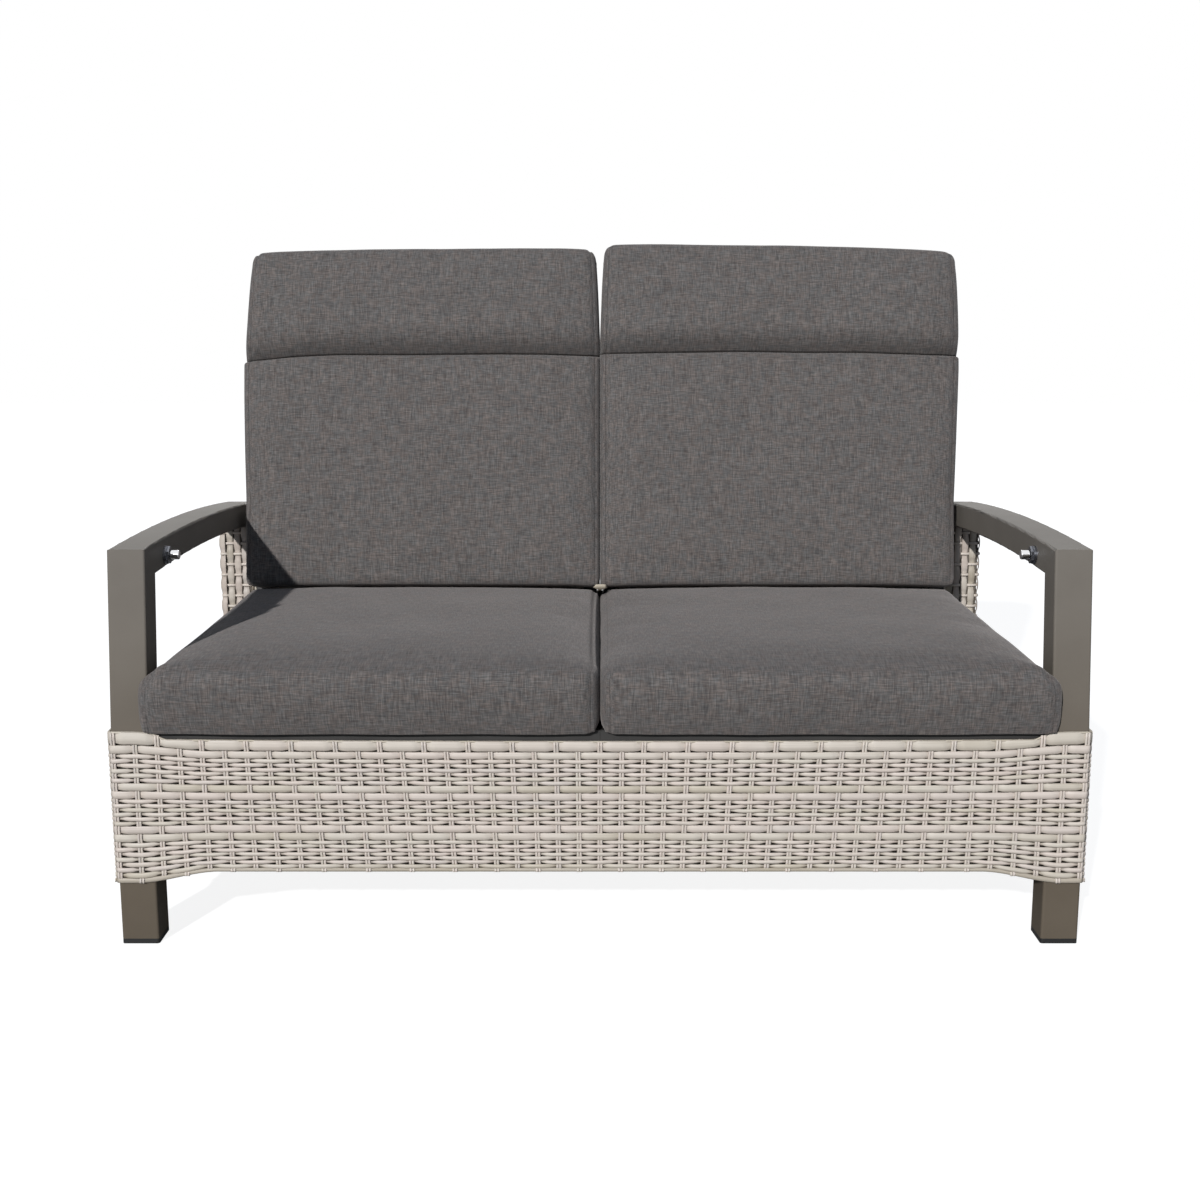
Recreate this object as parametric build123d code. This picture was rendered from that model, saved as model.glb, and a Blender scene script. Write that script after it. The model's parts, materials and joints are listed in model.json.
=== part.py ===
"""Two-seat patio loveseat whose two high backs recline one by one.

A square-tube aluminium base stands inside a skirt of woven resin strands. Aluminium arms rise from
its front corners and end on woven rear posts. Each back swings on pins at its foot and is held by a
lockable gas spring under the seat, which the chrome button on the arm beside it lets go.
Millimetres, +Z up, the front faces -Y. Left and right are as seen from the front. The left pieces
are drawn and the right ones are their mirror images.
"""

from build123d import *
from math import atan2, cos, degrees, hypot, pi, radians, sin, tan
import os

# Overall form
overall_width = 1500
base_depth = 803
leg_side = 58
leg_wall = 2.5
leg_round = 4
mating_gap = 0.3
overrun = 40

# Plastic feet
foot_height = 8
foot_plug = 22
foot_slack = 0.2

# Woven skirt
weave_thickness = 4
skirt_top = 345
skirt_dip = 15
skirt_step = 12
skirt_shoulder = 30
skirt_bottom = 101
skirt_rise = 19
skirt_ramp = 140

# Base rails
rail_width = 30
rail_height = 30
rail_wall = 2
rail_below_weave = 2
lower_rail_side = 20

# Seat decks
deck_height = 18
deck_bar = 25
deck_before_rear = 148
slat_width = 40
slat_thickness = 6
slat_count = 7

# Arms
arm_lean = 32
arm_front_top = 621
arm_rear_top = 601
arm_height = 46
arm_arch = 11.5
arm_wall = 2.5
arm_round = 3.5
post_wrap_thickness = 3

# Release button in the arm
button_back = 141
button_below_top = 25
button_diameter = 15
button_reach = 13
button_stem_diameter = 7
button_travel = 5
button_stem_length = 18
bezel_diameter = 29
bezel_thickness = 5
bezel_barrel_diameter = 12
bezel_barrel_length = 16
bezel_nut_across = 24
bezel_nut_height = 4

# Reclining backs
hinge_before_rear = 81
hinge_z = 400
recline_rest = 12
recline_range = 35
back_edge_gap = 10.5
back_centre_gap = 6.5
back_tube = 30
back_tube_side = 25
back_top = 680
back_corner = 60
back_slat_count = 4
back_slat_height = 30
back_slat_thickness = 8
back_weave_start = 3
hinge_tube_diameter = 30

# Hinge fittings
hinge_pin_diameter = 10
hinge_pin_reach = 28
hinge_pin_head = 16
hinge_pin_head_height = 3
hinge_running = 0.1
hinge_plate = 4
hinge_plate_width = 36
centre_plate = 8
bracket_foot = 3
bolt_diameter = 8
bolt_head_height = 4
bolt_head_across = 13
bolt_length = 12

# Recline levers and gas springs
lever_length = 95
lever_rest_angle = -10
lever_plate = 5
lever_gap = 26
lever_end_radius = 11
lever_pin_diameter = 8
anchor_before_hinge = 442
anchor_z = 262
anchor_lug = 4
anchor_lug_radius = 12
anchor_tube_ahead = 40
spring_diameter = 22
spring_bore = 10.2
rod_diameter = 10
rod_length = 240
cylinder_length = 235
cylinder_end_wall = 4
eye_diameter = 24
eye_slot_height = 7
eye_slack = 1.4
eye_neck = 12
head_width = 24
head_front = 30
head_rear = 26
head_height = 24

# Release lever and cable
release_thickness = 4
release_width = 14
release_pivot = 14
release_reach = 26
release_pin_diameter = 5
release_nipple = 9
nipple_length = 7
nipple_slack = 1.7
cable_diameter = 4
wire_diameter = 1.4
cable_hole_slack = 1
clip_wall = 1.6
clip_width = 8
clip_shares = (0.17, 0.66)

# Seat cushions
seat_overhang = 40
seat_before_rear = 123
seat_side_gap = 1.6
seat_middle_gap = 1.2
seat_height = 99
seat_crown = 20
seat_corner = 34
seat_bulge = 6

# Back cushions
back_cushion_start = 34
back_cushion_top = 694
back_cushion_edge_gap = 8
back_cushion_middle_gap = 3.5
back_cushion_thickness = 104
back_cushion_crown = 24
back_cushion_corner = 38
back_cushion_bulge = 6
head_seam = 478

# Shares of a cushion's own length, and its thickness and drawn-in edge at each
seat_place_shares = (0, 0.016, 0.045, 0.11, 0.24, 0.5, 0.76, 0.89, 0.955, 0.984, 1)
seat_thick_shares = (0.55, 0.8, 0.92, 0.97, 0.99, 1, 0.99, 0.97, 0.92, 0.8, 0.55)
seat_draw_shares = (0.8, 0.35, 0.1, 0, 0.08, 0.14, 0.08, 0, 0.1, 0.35, 0.8)
body_place_shares = (0, 0.02, 0.06, 0.15, 0.32, 0.58, 0.82, 0.94, 0.985, 1)
body_thick_shares = (0.55, 0.78, 0.92, 1, 1.03, 1, 0.97, 0.93, 0.86, 0.76)
body_draw_shares = (0.7, 0.3, 0.1, 0, 0.08, 0.13, 0.08, 0.03, 0.1, 0.22)
head_place_shares = (0, 0.04, 0.13, 0.32, 0.55, 0.76, 0.89, 0.96, 1)
head_thick_shares = (0.76, 0.9, 1.01, 1.05, 1.02, 0.93, 0.8, 0.67, 0.5)
head_draw_shares = (0.22, 0.1, 0.02, 0.04, 0.08, 0.14, 0.26, 0.48, 0.85)
lift_share = 0.35
mid_share = 0.5
arc_share = 1 - cos(pi / 4)
hull_share = 0.7
bend_share = 0.45

# Places that follow from these sizes
half_width = overall_width / 2
leg_inner = half_width - leg_side
leg_middle = half_width - leg_side / 2
rail_top = skirt_top - skirt_dip - rail_below_weave
rail_bottom = rail_top - rail_height
lower_rail_bottom = skirt_bottom + skirt_rise + rail_below_weave
deck_top = rail_top + deck_height
rear_leg_front = base_depth - leg_side
hinge_y = base_depth - hinge_before_rear
anchor_y = hinge_y - anchor_before_hinge
button_z = arm_front_top - button_below_top
spring_middle = half_width / 2 - leg_side / 2
back_outer = leg_inner - back_edge_gap


def block(x0, x1, y0, y1, z0, z1):
    """Solid box between two corners."""
    return Pos((x0 + x1) / 2, (y0 + y1) / 2, (z0 + z1) / 2) * Box(x1 - x0, y1 - y0, z1 - z0)


def tube(x0, x1, y0, y1, z0, z1, wall, along):
    """Rectangular tube between two corners, open at both ends along one axis."""
    inset = {axis: (0 if axis == along else wall) for axis in "xyz"}
    grow = {axis: (overrun if axis == along else 0) for axis in "xyz"}
    dx, dy, dz = (inset[axis] - grow[axis] for axis in "xyz")
    return block(x0, x1, y0, y1, z0, z1) - block(x0 + dx, x1 - dx, y0 + dy, y1 - dy, z0 + dz, z1 - dz)


def rod(start, end, diameter):
    """Round bar between two points."""
    a, b = Vector(*start), Vector(*end)
    return Solid.make_cylinder(diameter / 2, (b - a).length, Plane(origin=a, z_dir=b - a))


def side_profile(points):
    """Face in the side view from points given as (y, z)."""
    return make_face(Polyline(*[(0, y, z) for y, z in points], close=True))


def across(face, x0, x1):
    """A side-view face carried along X from x0 to x1."""
    return Pos(x0, 0, 0) * extrude(face, amount=x1 - x0, dir=(1, 0, 0))


def other_side(shape):
    """The right piece that goes with a left one."""
    return mirror(shape, about=Plane.YZ)


# Legs and feet
def leg(y0, z1):
    """Square tube leg with rounded long edges, open at its foot."""
    outer = block(-half_width, -leg_inner, y0, y0 + leg_side, foot_height, z1)
    outer = fillet(outer.edges().filter_by(Axis.Z), leg_round)
    inner = block(-half_width + leg_wall, -leg_inner - leg_wall, y0 + leg_wall, y0 + leg_side - leg_wall,
                  foot_height - overrun, z1 + overrun)
    return outer - inner


def foot_cap(y0):
    """Black cap with a flange as wide as the leg and a plug inside it."""
    flange = block(-half_width, -leg_inner, y0, y0 + leg_side, 0, foot_height)
    flange = fillet(flange.edges().filter_by(Axis.Z), leg_round)
    inset = leg_wall + foot_slack
    plug = block(-half_width + inset, -leg_inner - inset, y0 + inset, y0 + leg_side - inset,
                 foot_height, foot_height + foot_plug)
    return flange + plug


# Arms: a leaning post and an arched rail, mitred together at the front corner
post_slope = arm_lean / (arm_front_top - skirt_top)
arm_corner = Vector(0, arm_lean, arm_front_top)
arm_inner = Vector(0, leg_side + post_slope * (arm_front_top - arm_height - skirt_top),
                   arm_front_top - arm_height)


def rail_outline():
    """Side view of the arched rail, carried forward past the mitre."""
    rear_top = Vector(0, base_depth, arm_rear_top)
    rear_under = rear_top - Vector(0, 0, arm_height)
    top = ThreePointArc(arm_corner, (arm_corner + rear_top) / 2 + Vector(0, 0, arm_arch), rear_top)
    under = ThreePointArc(arm_inner, (arm_inner + rear_under) / 2 + Vector(0, 0, arm_arch), rear_under)
    front_top = arm_corner - (top % 0) * leg_side
    front_under = arm_inner - (under % 0) * 2 * leg_side
    lines = [Line(front_top, arm_corner), top, Line(rear_top, rear_under), under,
             Line(arm_inner, front_under), Line(front_under, front_top)]
    return make_face(Wire(lines))


def post_outline(inset):
    """Side view of the leaning post, carried past both its ends."""
    low, high = skirt_top - overrun, arm_front_top + overrun
    low_y, high_y = -overrun * post_slope, arm_lean + overrun * post_slope
    return side_profile([(low_y + inset, low), (high_y + inset, high),
                         (high_y + leg_side - inset, high), (low_y + leg_side - inset, low)])


def rounded_sides(solid):
    """Rounds the long edges of an arm tube's two flat sides."""
    sides = [e for e in solid.edges() if abs(abs(e.center().X) - leg_middle) > leg_side * lift_share]
    return fillet(sides, arm_round)


def cut_at_mitre(solid):
    """Keeps the larger part of a tube on its side of the mitre."""
    mitre = Plane(origin=arm_corner, x_dir=(1, 0, 0),
                  z_dir=Vector(1, 0, 0).cross(arm_inner - arm_corner))
    both = split(solid, bisect_by=mitre, keep=Keep.BOTH)
    return max(both.solids(), key=lambda s: s.volume)


def arm_post():
    """Hollow post from the skirt up to the mitre."""
    x0, x1 = -half_width, -leg_inner
    solid = rounded_sides(across(post_outline(0), x0, x1))
    solid -= across(post_outline(arm_wall), x0 + arm_wall, x1 - arm_wall)
    solid -= block(x0 - overrun, x1 + overrun, -overrun, leg_side + overrun,
                   skirt_top - 2 * overrun, skirt_top)
    return cut_at_mitre(solid)


def arm_rail():
    """Hollow arched rail from the mitre to the top of the rear post, closed at its rear end."""
    x0, x1 = -half_width, -leg_inner
    solid = rounded_sides(across(rail_outline(), x0, x1))
    solid -= across(offset(rail_outline(), amount=-arm_wall), x0 + arm_wall, x1 - arm_wall)
    hole = rod((x1 - overrun / 2, button_back, button_z), (x1 + overrun, button_back, button_z),
               bezel_barrel_diameter + 2 * foot_slack)
    return cut_at_mitre(solid) - hole


def under_arm(shape):
    """Trims a rear post where it meets the underside of the arm."""
    lift = across(rail_outline(), -half_width - overrun, -leg_inner + overrun)
    return shape - lift


def rear_leg():
    """Rear leg that runs on up to the arm as the rear post."""
    return under_arm(leg(rear_leg_front, arm_rear_top - arm_height + arm_arch))


def post_wrap():
    """Woven sleeve on the rear post between the skirt and the arm."""
    t = post_wrap_thickness
    top = arm_rear_top - arm_height + arm_arch
    outer = block(-half_width - t, -leg_inner + t, rear_leg_front - t, base_depth + t, skirt_top, top)
    outer = fillet(outer.edges().filter_by(Axis.Z), leg_round + t)
    inner = block(-half_width, -leg_inner, rear_leg_front, base_depth, skirt_top - overrun, top + overrun)
    inner = fillet(inner.edges().filter_by(Axis.Z), leg_round)
    return under_arm(outer - inner)


# Woven skirt panels
def skirt_outline(half, flat):
    """Upright panel outline: its top edge steps down and its foot rises between the legs."""
    low, high = skirt_bottom, skirt_bottom + skirt_rise
    ramp = half - flat - skirt_ramp
    middle = half - flat - skirt_ramp / 2
    step = skirt_top - skirt_step
    inner = half - flat - skirt_shoulder
    turn = half - flat - skirt_shoulder / 2
    lines = [
        Line((-half, skirt_top), (flat - half, skirt_top)),
        Bezier((flat - half, skirt_top), (-turn, skirt_top), (-turn, step), (-inner, step)),
        ThreePointArc((-inner, step), (0, skirt_top - skirt_dip), (inner, step)),
        Bezier((inner, step), (turn, step), (turn, skirt_top), (half - flat, skirt_top)),
        Line((half - flat, skirt_top), (half, skirt_top)),
        Line((half, skirt_top), (half, low)),
        Line((half, low), (half - flat, low)),
        Bezier((half - flat, low), (middle, low), (middle, high), (ramp, high)),
        Line((ramp, high), (-ramp, high)),
        Bezier((-ramp, high), (-middle, high), (-middle, low), (flat - half, low)),
        Line((flat - half, low), (-half, low)),
        Line((-half, low), (-half, skirt_top)),
    ]
    return make_face(Wire(lines))


def skirt_front(y0):
    """Woven panel across the front or the rear, its outer corners rounded."""
    half = half_width + weave_thickness
    panel = extrude(skirt_outline(half, leg_side + weave_thickness), amount=weave_thickness)
    return Pos(0, y0 + weave_thickness, 0) * Rot(90, 0, 0) * panel


def skirt_side():
    """Woven panel down the left side, between the front and rear ones."""
    half = base_depth / 2
    panel = extrude(skirt_outline(half, leg_side), amount=weave_thickness)
    return Pos(-half_width - weave_thickness, half, 0) * Rot(0, 0, 90) * Rot(90, 0, 0) * panel


# Base rails
def cross_rail(y0, z0, side):
    """Rail from leg to leg, across the front or the rear."""
    return tube(-leg_inner, leg_inner, y0, y0 + side, z0, z0 + side, rail_wall, "x")


def side_rail(z0, side):
    """Rail from the front leg to the rear leg, flush with their outer faces."""
    return tube(-half_width, -half_width + side, leg_side, rear_leg_front, z0, z0 + side, rail_wall, "y")


def bolt_hole():
    """Space of the bolt that fastens the outer hinge bracket to the side rail."""
    x = -half_width + rail_width / 2
    return rod((x, hinge_y, rail_top + bracket_foot - bolt_length), (x, hinge_y, rail_top + bracket_foot),
               bolt_diameter)


def centre_rail():
    """Rail under the gap between the two seats."""
    return tube(-rail_width / 2, rail_width / 2, rail_width, base_depth - rail_width,
                rail_bottom, rail_top, rail_wall, "y")


def seat_deck():
    """Welded frame with slats that one seat cushion lies on, notched round the front leg."""
    x0, x1 = -half_width + rail_width / 2, -foot_slack
    y0, y1 = foot_slack, base_depth - deck_before_rear
    frame = block(x0, x1, y0, y1, rail_top, deck_top)
    frame -= block(-leg_inner + deck_bar, x1 - deck_bar, y0 + deck_bar, y1 - deck_bar,
                   rail_top - overrun, deck_top + overrun)
    frame -= block(-half_width - overrun, -leg_inner + foot_slack, -overrun, leg_side + foot_slack,
                   rail_top - overrun, deck_top + overrun)
    pitch = (x1 + leg_inner - 2 * deck_bar - slat_width) / (slat_count + 1)
    for i in range(slat_count):
        left = -leg_inner + deck_bar + pitch * (i + 1)
        frame += block(left, left + slat_width, y0 + deck_bar - foot_slack, y1 - deck_bar + foot_slack,
                       deck_top - slat_thickness, deck_top)
    return frame


# Backs, drawn upright about the hinge line and then laid back
def laid_back(shape):
    """Carries a shape from the upright back's own place to its place on the seat."""
    return Pos(0, hinge_y, hinge_z) * Rot(-recline_rest, 0, 0) * shape


def back_frame():
    """Welded hoop of rectangular tube on a round tube that turns on the hinge pins."""
    x0, x1 = -back_outer + weave_thickness, -back_centre_gap
    deep = back_tube / 2
    outer = block(x0, x1, -deep, deep, 0, back_top)
    top_edges = [e for e in outer.edges().filter_by(Axis.Y) if e.center().Z > back_top / 2]
    outer = fillet(top_edges, back_corner)
    inner = block(x0 + back_tube_side, x1 - back_tube_side, -overrun, overrun, -overrun,
                  back_top - back_tube_side)
    inner_edges = [e for e in inner.edges().filter_by(Axis.Y) if e.center().Z > back_top / 2]
    inner = fillet(inner_edges, back_corner - back_tube_side)
    hoop = outer - inner
    pitch = (back_top - back_tube_side) / (back_slat_count + 1)
    for i in range(back_slat_count):
        middle = pitch * (i + 1)
        hoop += block(x0 + back_tube_side / 2, x1 - back_tube_side / 2,
                      -deep, back_slat_thickness - deep,
                      middle - back_slat_height / 2, middle + back_slat_height / 2)
    hoop += rod((x0, 0, 0), (x1, 0, 0), hinge_tube_diameter)
    bore = hinge_pin_diameter + 2 * hinge_running
    for start, end in ((x0 - overrun, x0 + hinge_pin_reach), (x1 - hinge_pin_reach, x1 + overrun)):
        hoop -= rod((start, 0, 0), (end, 0, 0), bore)
    return laid_back(hoop)


def back_weave():
    """Woven panel over the rear of the hoop, turned round its outer edges."""
    t = weave_thickness
    x0, x1 = -back_outer, -back_centre_gap
    deep = back_tube / 2
    low = back_weave_start
    shell = block(x0, x1, -deep, deep + t, low, back_top + t)
    edges = [e for e in shell.edges().filter_by(Axis.Y) if e.center().Z > back_top / 2]
    shell = fillet(edges, back_corner + t)
    core = block(x0 + t, x1, -deep - overrun, deep, low - overrun, back_top)
    core_edges = [e for e in core.edges().filter_by(Axis.Y) if e.center().Z > back_top / 2]
    core = fillet(core_edges, back_corner)
    pin_clearance = rod((-back_outer - overrun, 0, 0), (-back_outer + overrun, 0, 0), hinge_pin_head)
    return laid_back(shell - core - pin_clearance)


# Hinge fittings
def hinge_plate_face():
    """Side view of a hinge bracket with a round head about the pin."""
    radius = hinge_plate_width / 2
    outline = side_profile([(hinge_y - radius, rail_top), (hinge_y - radius, hinge_z),
                            (hinge_y + radius, hinge_z), (hinge_y + radius, rail_top)])
    return outline, radius


def hinge_bracket_outer():
    """Angle bracket on the side rail that carries the outer end of a back."""
    outline, radius = hinge_plate_face()
    x1 = -back_outer - mating_gap
    x0 = x1 - hinge_plate
    plate = across(outline, x0, x1) + rod((x0, hinge_y, hinge_z), (x1, hinge_y, hinge_z), 2 * radius)
    foot = block(-half_width, x1, hinge_y - radius, hinge_y + radius, rail_top, rail_top + bracket_foot)
    hole = rod((x0 - overrun, hinge_y, hinge_z), (x1 + overrun, hinge_y, hinge_z), hinge_pin_diameter)
    return plate + foot - hole - bolt_hole()


def hinge_bracket_centre():
    """Plate on the centre rail that carries the inner ends of both backs."""
    outline, radius = hinge_plate_face()
    half = centre_plate / 2
    plate = across(outline, -half, half)
    plate += rod((-half, hinge_y, hinge_z), (half, hinge_y, hinge_z), 2 * radius)
    foot = block(-rail_width / 2, rail_width / 2, hinge_y - radius, hinge_y + radius,
                 rail_top, rail_top + bracket_foot)
    hole = rod((-overrun, hinge_y, hinge_z), (overrun, hinge_y, hinge_z), hinge_pin_diameter)
    return plate + foot - hole


def hinge_pins():
    """One long pin through the centre plate and a headed pin at each outer bracket."""
    reach = back_centre_gap + hinge_pin_reach - mating_gap
    centre = rod((-reach, hinge_y, hinge_z), (reach, hinge_y, hinge_z), hinge_pin_diameter)
    x1 = -back_outer - mating_gap - hinge_plate
    end = -back_outer + weave_thickness + hinge_pin_reach - mating_gap
    outer = rod((x1, hinge_y, hinge_z), (end, hinge_y, hinge_z), hinge_pin_diameter)
    outer += rod((x1 - hinge_pin_head_height, hinge_y, hinge_z), (x1, hinge_y, hinge_z), hinge_pin_head)
    return Compound(children=[centre, outer, other_side(outer)])


def bracket_bolts():
    """Hexagon bolts through the feet of the outer hinge brackets into the side rails."""
    x, z = -half_width + rail_width / 2, rail_top + bracket_foot
    head = extrude(RegularPolygon(bolt_head_across / 2, 6, major_radius=False), amount=bolt_head_height)
    bolt = Pos(x, hinge_y, z) * head + bolt_hole()
    return Compound(children=[bolt, other_side(bolt)])


# Recline lever, gas spring and its anchor
def lever_end(angle):
    """Place (y, z) of the lever's pin when the back has turned by an angle in degrees."""
    swing = radians(lever_rest_angle + angle)
    return hinge_y - lever_length * sin(swing), hinge_z - lever_length * cos(swing)


def spring_line(angle):
    """Length and slope in radians of the gas spring at a recline angle."""
    y, z = lever_end(angle)
    return hypot(y - anchor_y, z - anchor_z), atan2(z - anchor_z, y - anchor_y)


spring_rest, spring_slope = spring_line(0)


def along_spring(shape):
    """Carries a shape drawn along Y from the origin to the gas spring's line."""
    return Pos(-spring_middle, anchor_y, anchor_z) * Rot(degrees(spring_slope), 0, 0) * shape


def recline_lever():
    """Pair of plates welded under the back's hinge tube."""
    y, z = lever_end(0)
    radius = lever_end_radius
    dy, dz = (y - hinge_y) / lever_length, (z - hinge_z) / lever_length
    top = hinge_tube_diameter / 2
    a = (hinge_y + dy * top * mid_share - dz * top * hull_share,
         hinge_z + dz * top * mid_share + dy * top * hull_share)
    b = (hinge_y + dy * top * mid_share + dz * top * hull_share,
         hinge_z + dz * top * mid_share - dy * top * hull_share)
    outline = side_profile([a, (y - dz * radius, z + dy * radius), (y + dz * radius, z - dy * radius), b])
    plates = []
    for x0 in (-spring_middle - lever_gap / 2 - lever_plate, -spring_middle + lever_gap / 2):
        plate = across(outline, x0, x0 + lever_plate)
        plate += rod((x0, y, z), (x0 + lever_plate, y, z), 2 * radius)
        plate -= rod((x0 - overrun, hinge_y, hinge_z), (x0 + overrun, hinge_y, hinge_z),
                     hinge_tube_diameter)
        plate -= rod((x0 - overrun, y, z), (x0 + overrun, y, z), lever_pin_diameter)
        plates.append(plate)
    return Compound(children=plates)


def lever_pin():
    """Pin through both lever plates and the rear eye of the gas spring."""
    y, z = lever_end(0)
    reach = lever_gap / 2 + lever_plate + mating_gap
    x0, x1 = -spring_middle - reach, -spring_middle + reach
    pin = rod((x0, y, z), (x1, y, z), lever_pin_diameter)
    for start, end in ((x0 - hinge_pin_head_height, x0), (x1, x1 + hinge_pin_head_height)):
        pin += rod((start, y, z), (end, y, z), lever_pin_diameter + 2 * lever_plate)
    return pin


def cable_line():
    """Place (y, z) where the release cable runs across to the head of the gas spring."""
    ahead, above = -release_pivot - release_reach, head_height / 2 + release_thickness / 2 + mating_gap
    y = anchor_y + ahead * cos(spring_slope) - above * sin(spring_slope)
    z = anchor_z + ahead * sin(spring_slope) + above * cos(spring_slope)
    return y, z


def spring_anchor():
    """Cross tube under the seat with two lugs for the spring and clips for the cable."""
    cable_y, cable_z = cable_line()
    y0 = anchor_y - anchor_tube_ahead - rail_width / 2
    anchor = tube(-half_width + rail_width, -rail_width / 2, y0, y0 + rail_width,
                  rail_bottom, rail_top, rail_wall, "x")
    radius = anchor_lug_radius
    outline = side_profile([(y0 + rail_width * mid_share, rail_bottom), (anchor_y - radius, anchor_z),
                            (anchor_y + radius, anchor_z), (anchor_y + radius, rail_bottom)])
    cap = block(-spring_middle - head_width / 2 - anchor_lug, -spring_middle + head_width / 2 + anchor_lug,
                y0 + rail_width * mid_share, anchor_y + radius, rail_bottom, rail_bottom + anchor_lug)
    cap -= block(-half_width, half_width, y0, y0 + rail_width, rail_bottom, rail_top)
    anchor += cap
    for x0 in (-spring_middle - head_width / 2 - mating_gap - anchor_lug,
               -spring_middle + head_width / 2 + mating_gap):
        lug = across(outline, x0, x0 + anchor_lug)
        lug += rod((x0, anchor_y, anchor_z), (x0 + anchor_lug, anchor_y, anchor_z), 2 * radius)
        lug -= rod((x0 - overrun, anchor_y, anchor_z), (x0 + overrun, anchor_y, anchor_z),
                   lever_pin_diameter)
        anchor += lug
    ring = cable_diameter / 2 + mating_gap
    first, last = -half_width + rail_width, -spring_middle - head_width / 2 - clip_width
    for x in [first + (last - first) * share for share in clip_shares] + [last]:
        clip = rod((x - clip_width / 2, cable_y, cable_z), (x + clip_width / 2, cable_y, cable_z),
                   2 * (ring + clip_wall))
        clip += block(x - clip_width / 2, x + clip_width / 2, cable_y - clip_wall, cable_y + clip_wall,
                      cable_z, rail_bottom)
        clip -= rod((x - clip_width, cable_y, cable_z), (x + clip_width, cable_y, cable_z), 2 * ring)
        anchor += clip
    return anchor


def anchor_pin():
    """Pin through the anchor lugs and the head of the gas spring."""
    reach = head_width / 2 + anchor_lug + 2 * mating_gap
    x0, x1 = -spring_middle - reach, -spring_middle + reach
    pin = rod((x0, anchor_y, anchor_z), (x1, anchor_y, anchor_z), lever_pin_diameter)
    for start, end in ((x0 - hinge_pin_head_height, x0), (x1, x1 + hinge_pin_head_height)):
        pin += rod((start, anchor_y, anchor_z), (end, anchor_y, anchor_z),
                   lever_pin_diameter + 2 * lever_plate)
    return pin


def release_head():
    """Block on the end of the rod that turns on the anchor pin and holds the release lever."""
    half = head_width / 2
    body = block(-half, half, -head_front, head_rear, -head_height / 2, head_height / 2)
    body = chamfer(body.edges().filter_by(Axis.X), head_height / 2 * mid_share)
    body -= rod((-overrun, 0, 0), (overrun, 0, 0), lever_pin_diameter + 2 * hinge_running)
    top = head_height / 2
    body -= rod((0, -release_pivot, top - release_thickness), (0, -release_pivot, top + overrun),
                release_pin_diameter + 2 * hinge_running)
    return along_spring(body)


def release_lever():
    """Flat lever on top of the head, with its pivot pin and the eye that the wire pulls."""
    base = head_height / 2 + mating_gap
    tip = -release_pivot - release_reach
    plate = block(-release_width / 2, release_width / 2, tip, -release_pivot,
                  base, base + release_thickness)
    plate += rod((0, -release_pivot, base), (0, -release_pivot, base + release_thickness), release_width)
    plate += rod((-nipple_length / 2, tip, base + release_thickness / 2),
                 (nipple_length / 2, tip, base + release_thickness / 2), release_nipple)
    plate += rod((0, -release_pivot, base - release_thickness + mating_gap), (0, -release_pivot, base),
                 release_pin_diameter)
    plate -= rod((-overrun, tip, base + release_thickness / 2),
                 (overrun, tip, base + release_thickness / 2), wire_diameter + 2 * nipple_slack)
    return along_spring(plate)


def spring_rod():
    """Polished rod that slides in the cylinder."""
    return along_spring(rod((0, head_rear, 0), (0, head_rear + rod_length, 0), rod_diameter))


def spring_cylinder():
    """Gas cylinder with a slotted rear eye on the lever pin."""
    eye = spring_rest
    end = eye - eye_diameter / 2 - eye_neck
    start = end - cylinder_length
    body = rod((0, start, 0), (0, end, 0), spring_diameter)
    body -= rod((0, start - overrun, 0), (0, end - cylinder_end_wall, 0), spring_bore)
    body += rod((0, end, 0), (0, eye - lever_pin_diameter, 0), rod_diameter)
    half = (lever_gap - 2 * mating_gap) / 2
    body += rod((-half, eye, 0), (half, eye, 0), eye_diameter)
    slot = lever_pin_diameter / 2 + eye_slack
    body -= rod((-overrun, eye, eye_slot_height / 2), (overrun, eye, eye_slot_height / 2), 2 * slot)
    body -= rod((-overrun, eye, -eye_slot_height / 2), (overrun, eye, -eye_slot_height / 2), 2 * slot)
    body -= block(-overrun, overrun, eye - slot, eye + slot, -eye_slot_height / 2, eye_slot_height / 2)
    return along_spring(body)


# Push button and release cable
def button_bezel():
    """Chrome nut and washer on the inner face of the arm, with the barrel behind them."""
    x, y, z = -leg_inner, button_back, button_z
    bezel = rod((x, y, z), (x + bezel_thickness, y, z), bezel_diameter)
    nut = extrude(RegularPolygon(bezel_nut_across / 2, 6, major_radius=False), amount=bezel_nut_height)
    bezel += Pos(x + bezel_thickness, y, z) * Rot(0, 90, 0) * nut
    bezel += rod((x - bezel_barrel_length, y, z), (x, y, z), bezel_barrel_diameter)
    stem = button_stem_diameter + 2 * mating_gap
    bezel -= rod((x - bezel_barrel_length - overrun, y, z), (x + overrun, y, z), stem)
    bezel -= rod((x + bezel_thickness, y, z), (x + overrun, y, z), button_diameter + 2 * mating_gap)
    return bezel


def button():
    """Push button with a domed face and the stem that presses on the cable end."""
    x, y, z = -leg_inner + bezel_thickness + button_travel + mating_gap, button_back, button_z
    cap = rod((x, y, z), (x + button_reach, y, z), button_diameter)
    rim = cap.edges().filter_by(GeomType.CIRCLE).sort_by(Axis.X)[-1]
    cap = fillet(rim, button_diameter / 2 * mid_share * mid_share)
    return cap + rod((x - button_stem_length, y, z), (x, y, z), button_stem_diameter)


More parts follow.
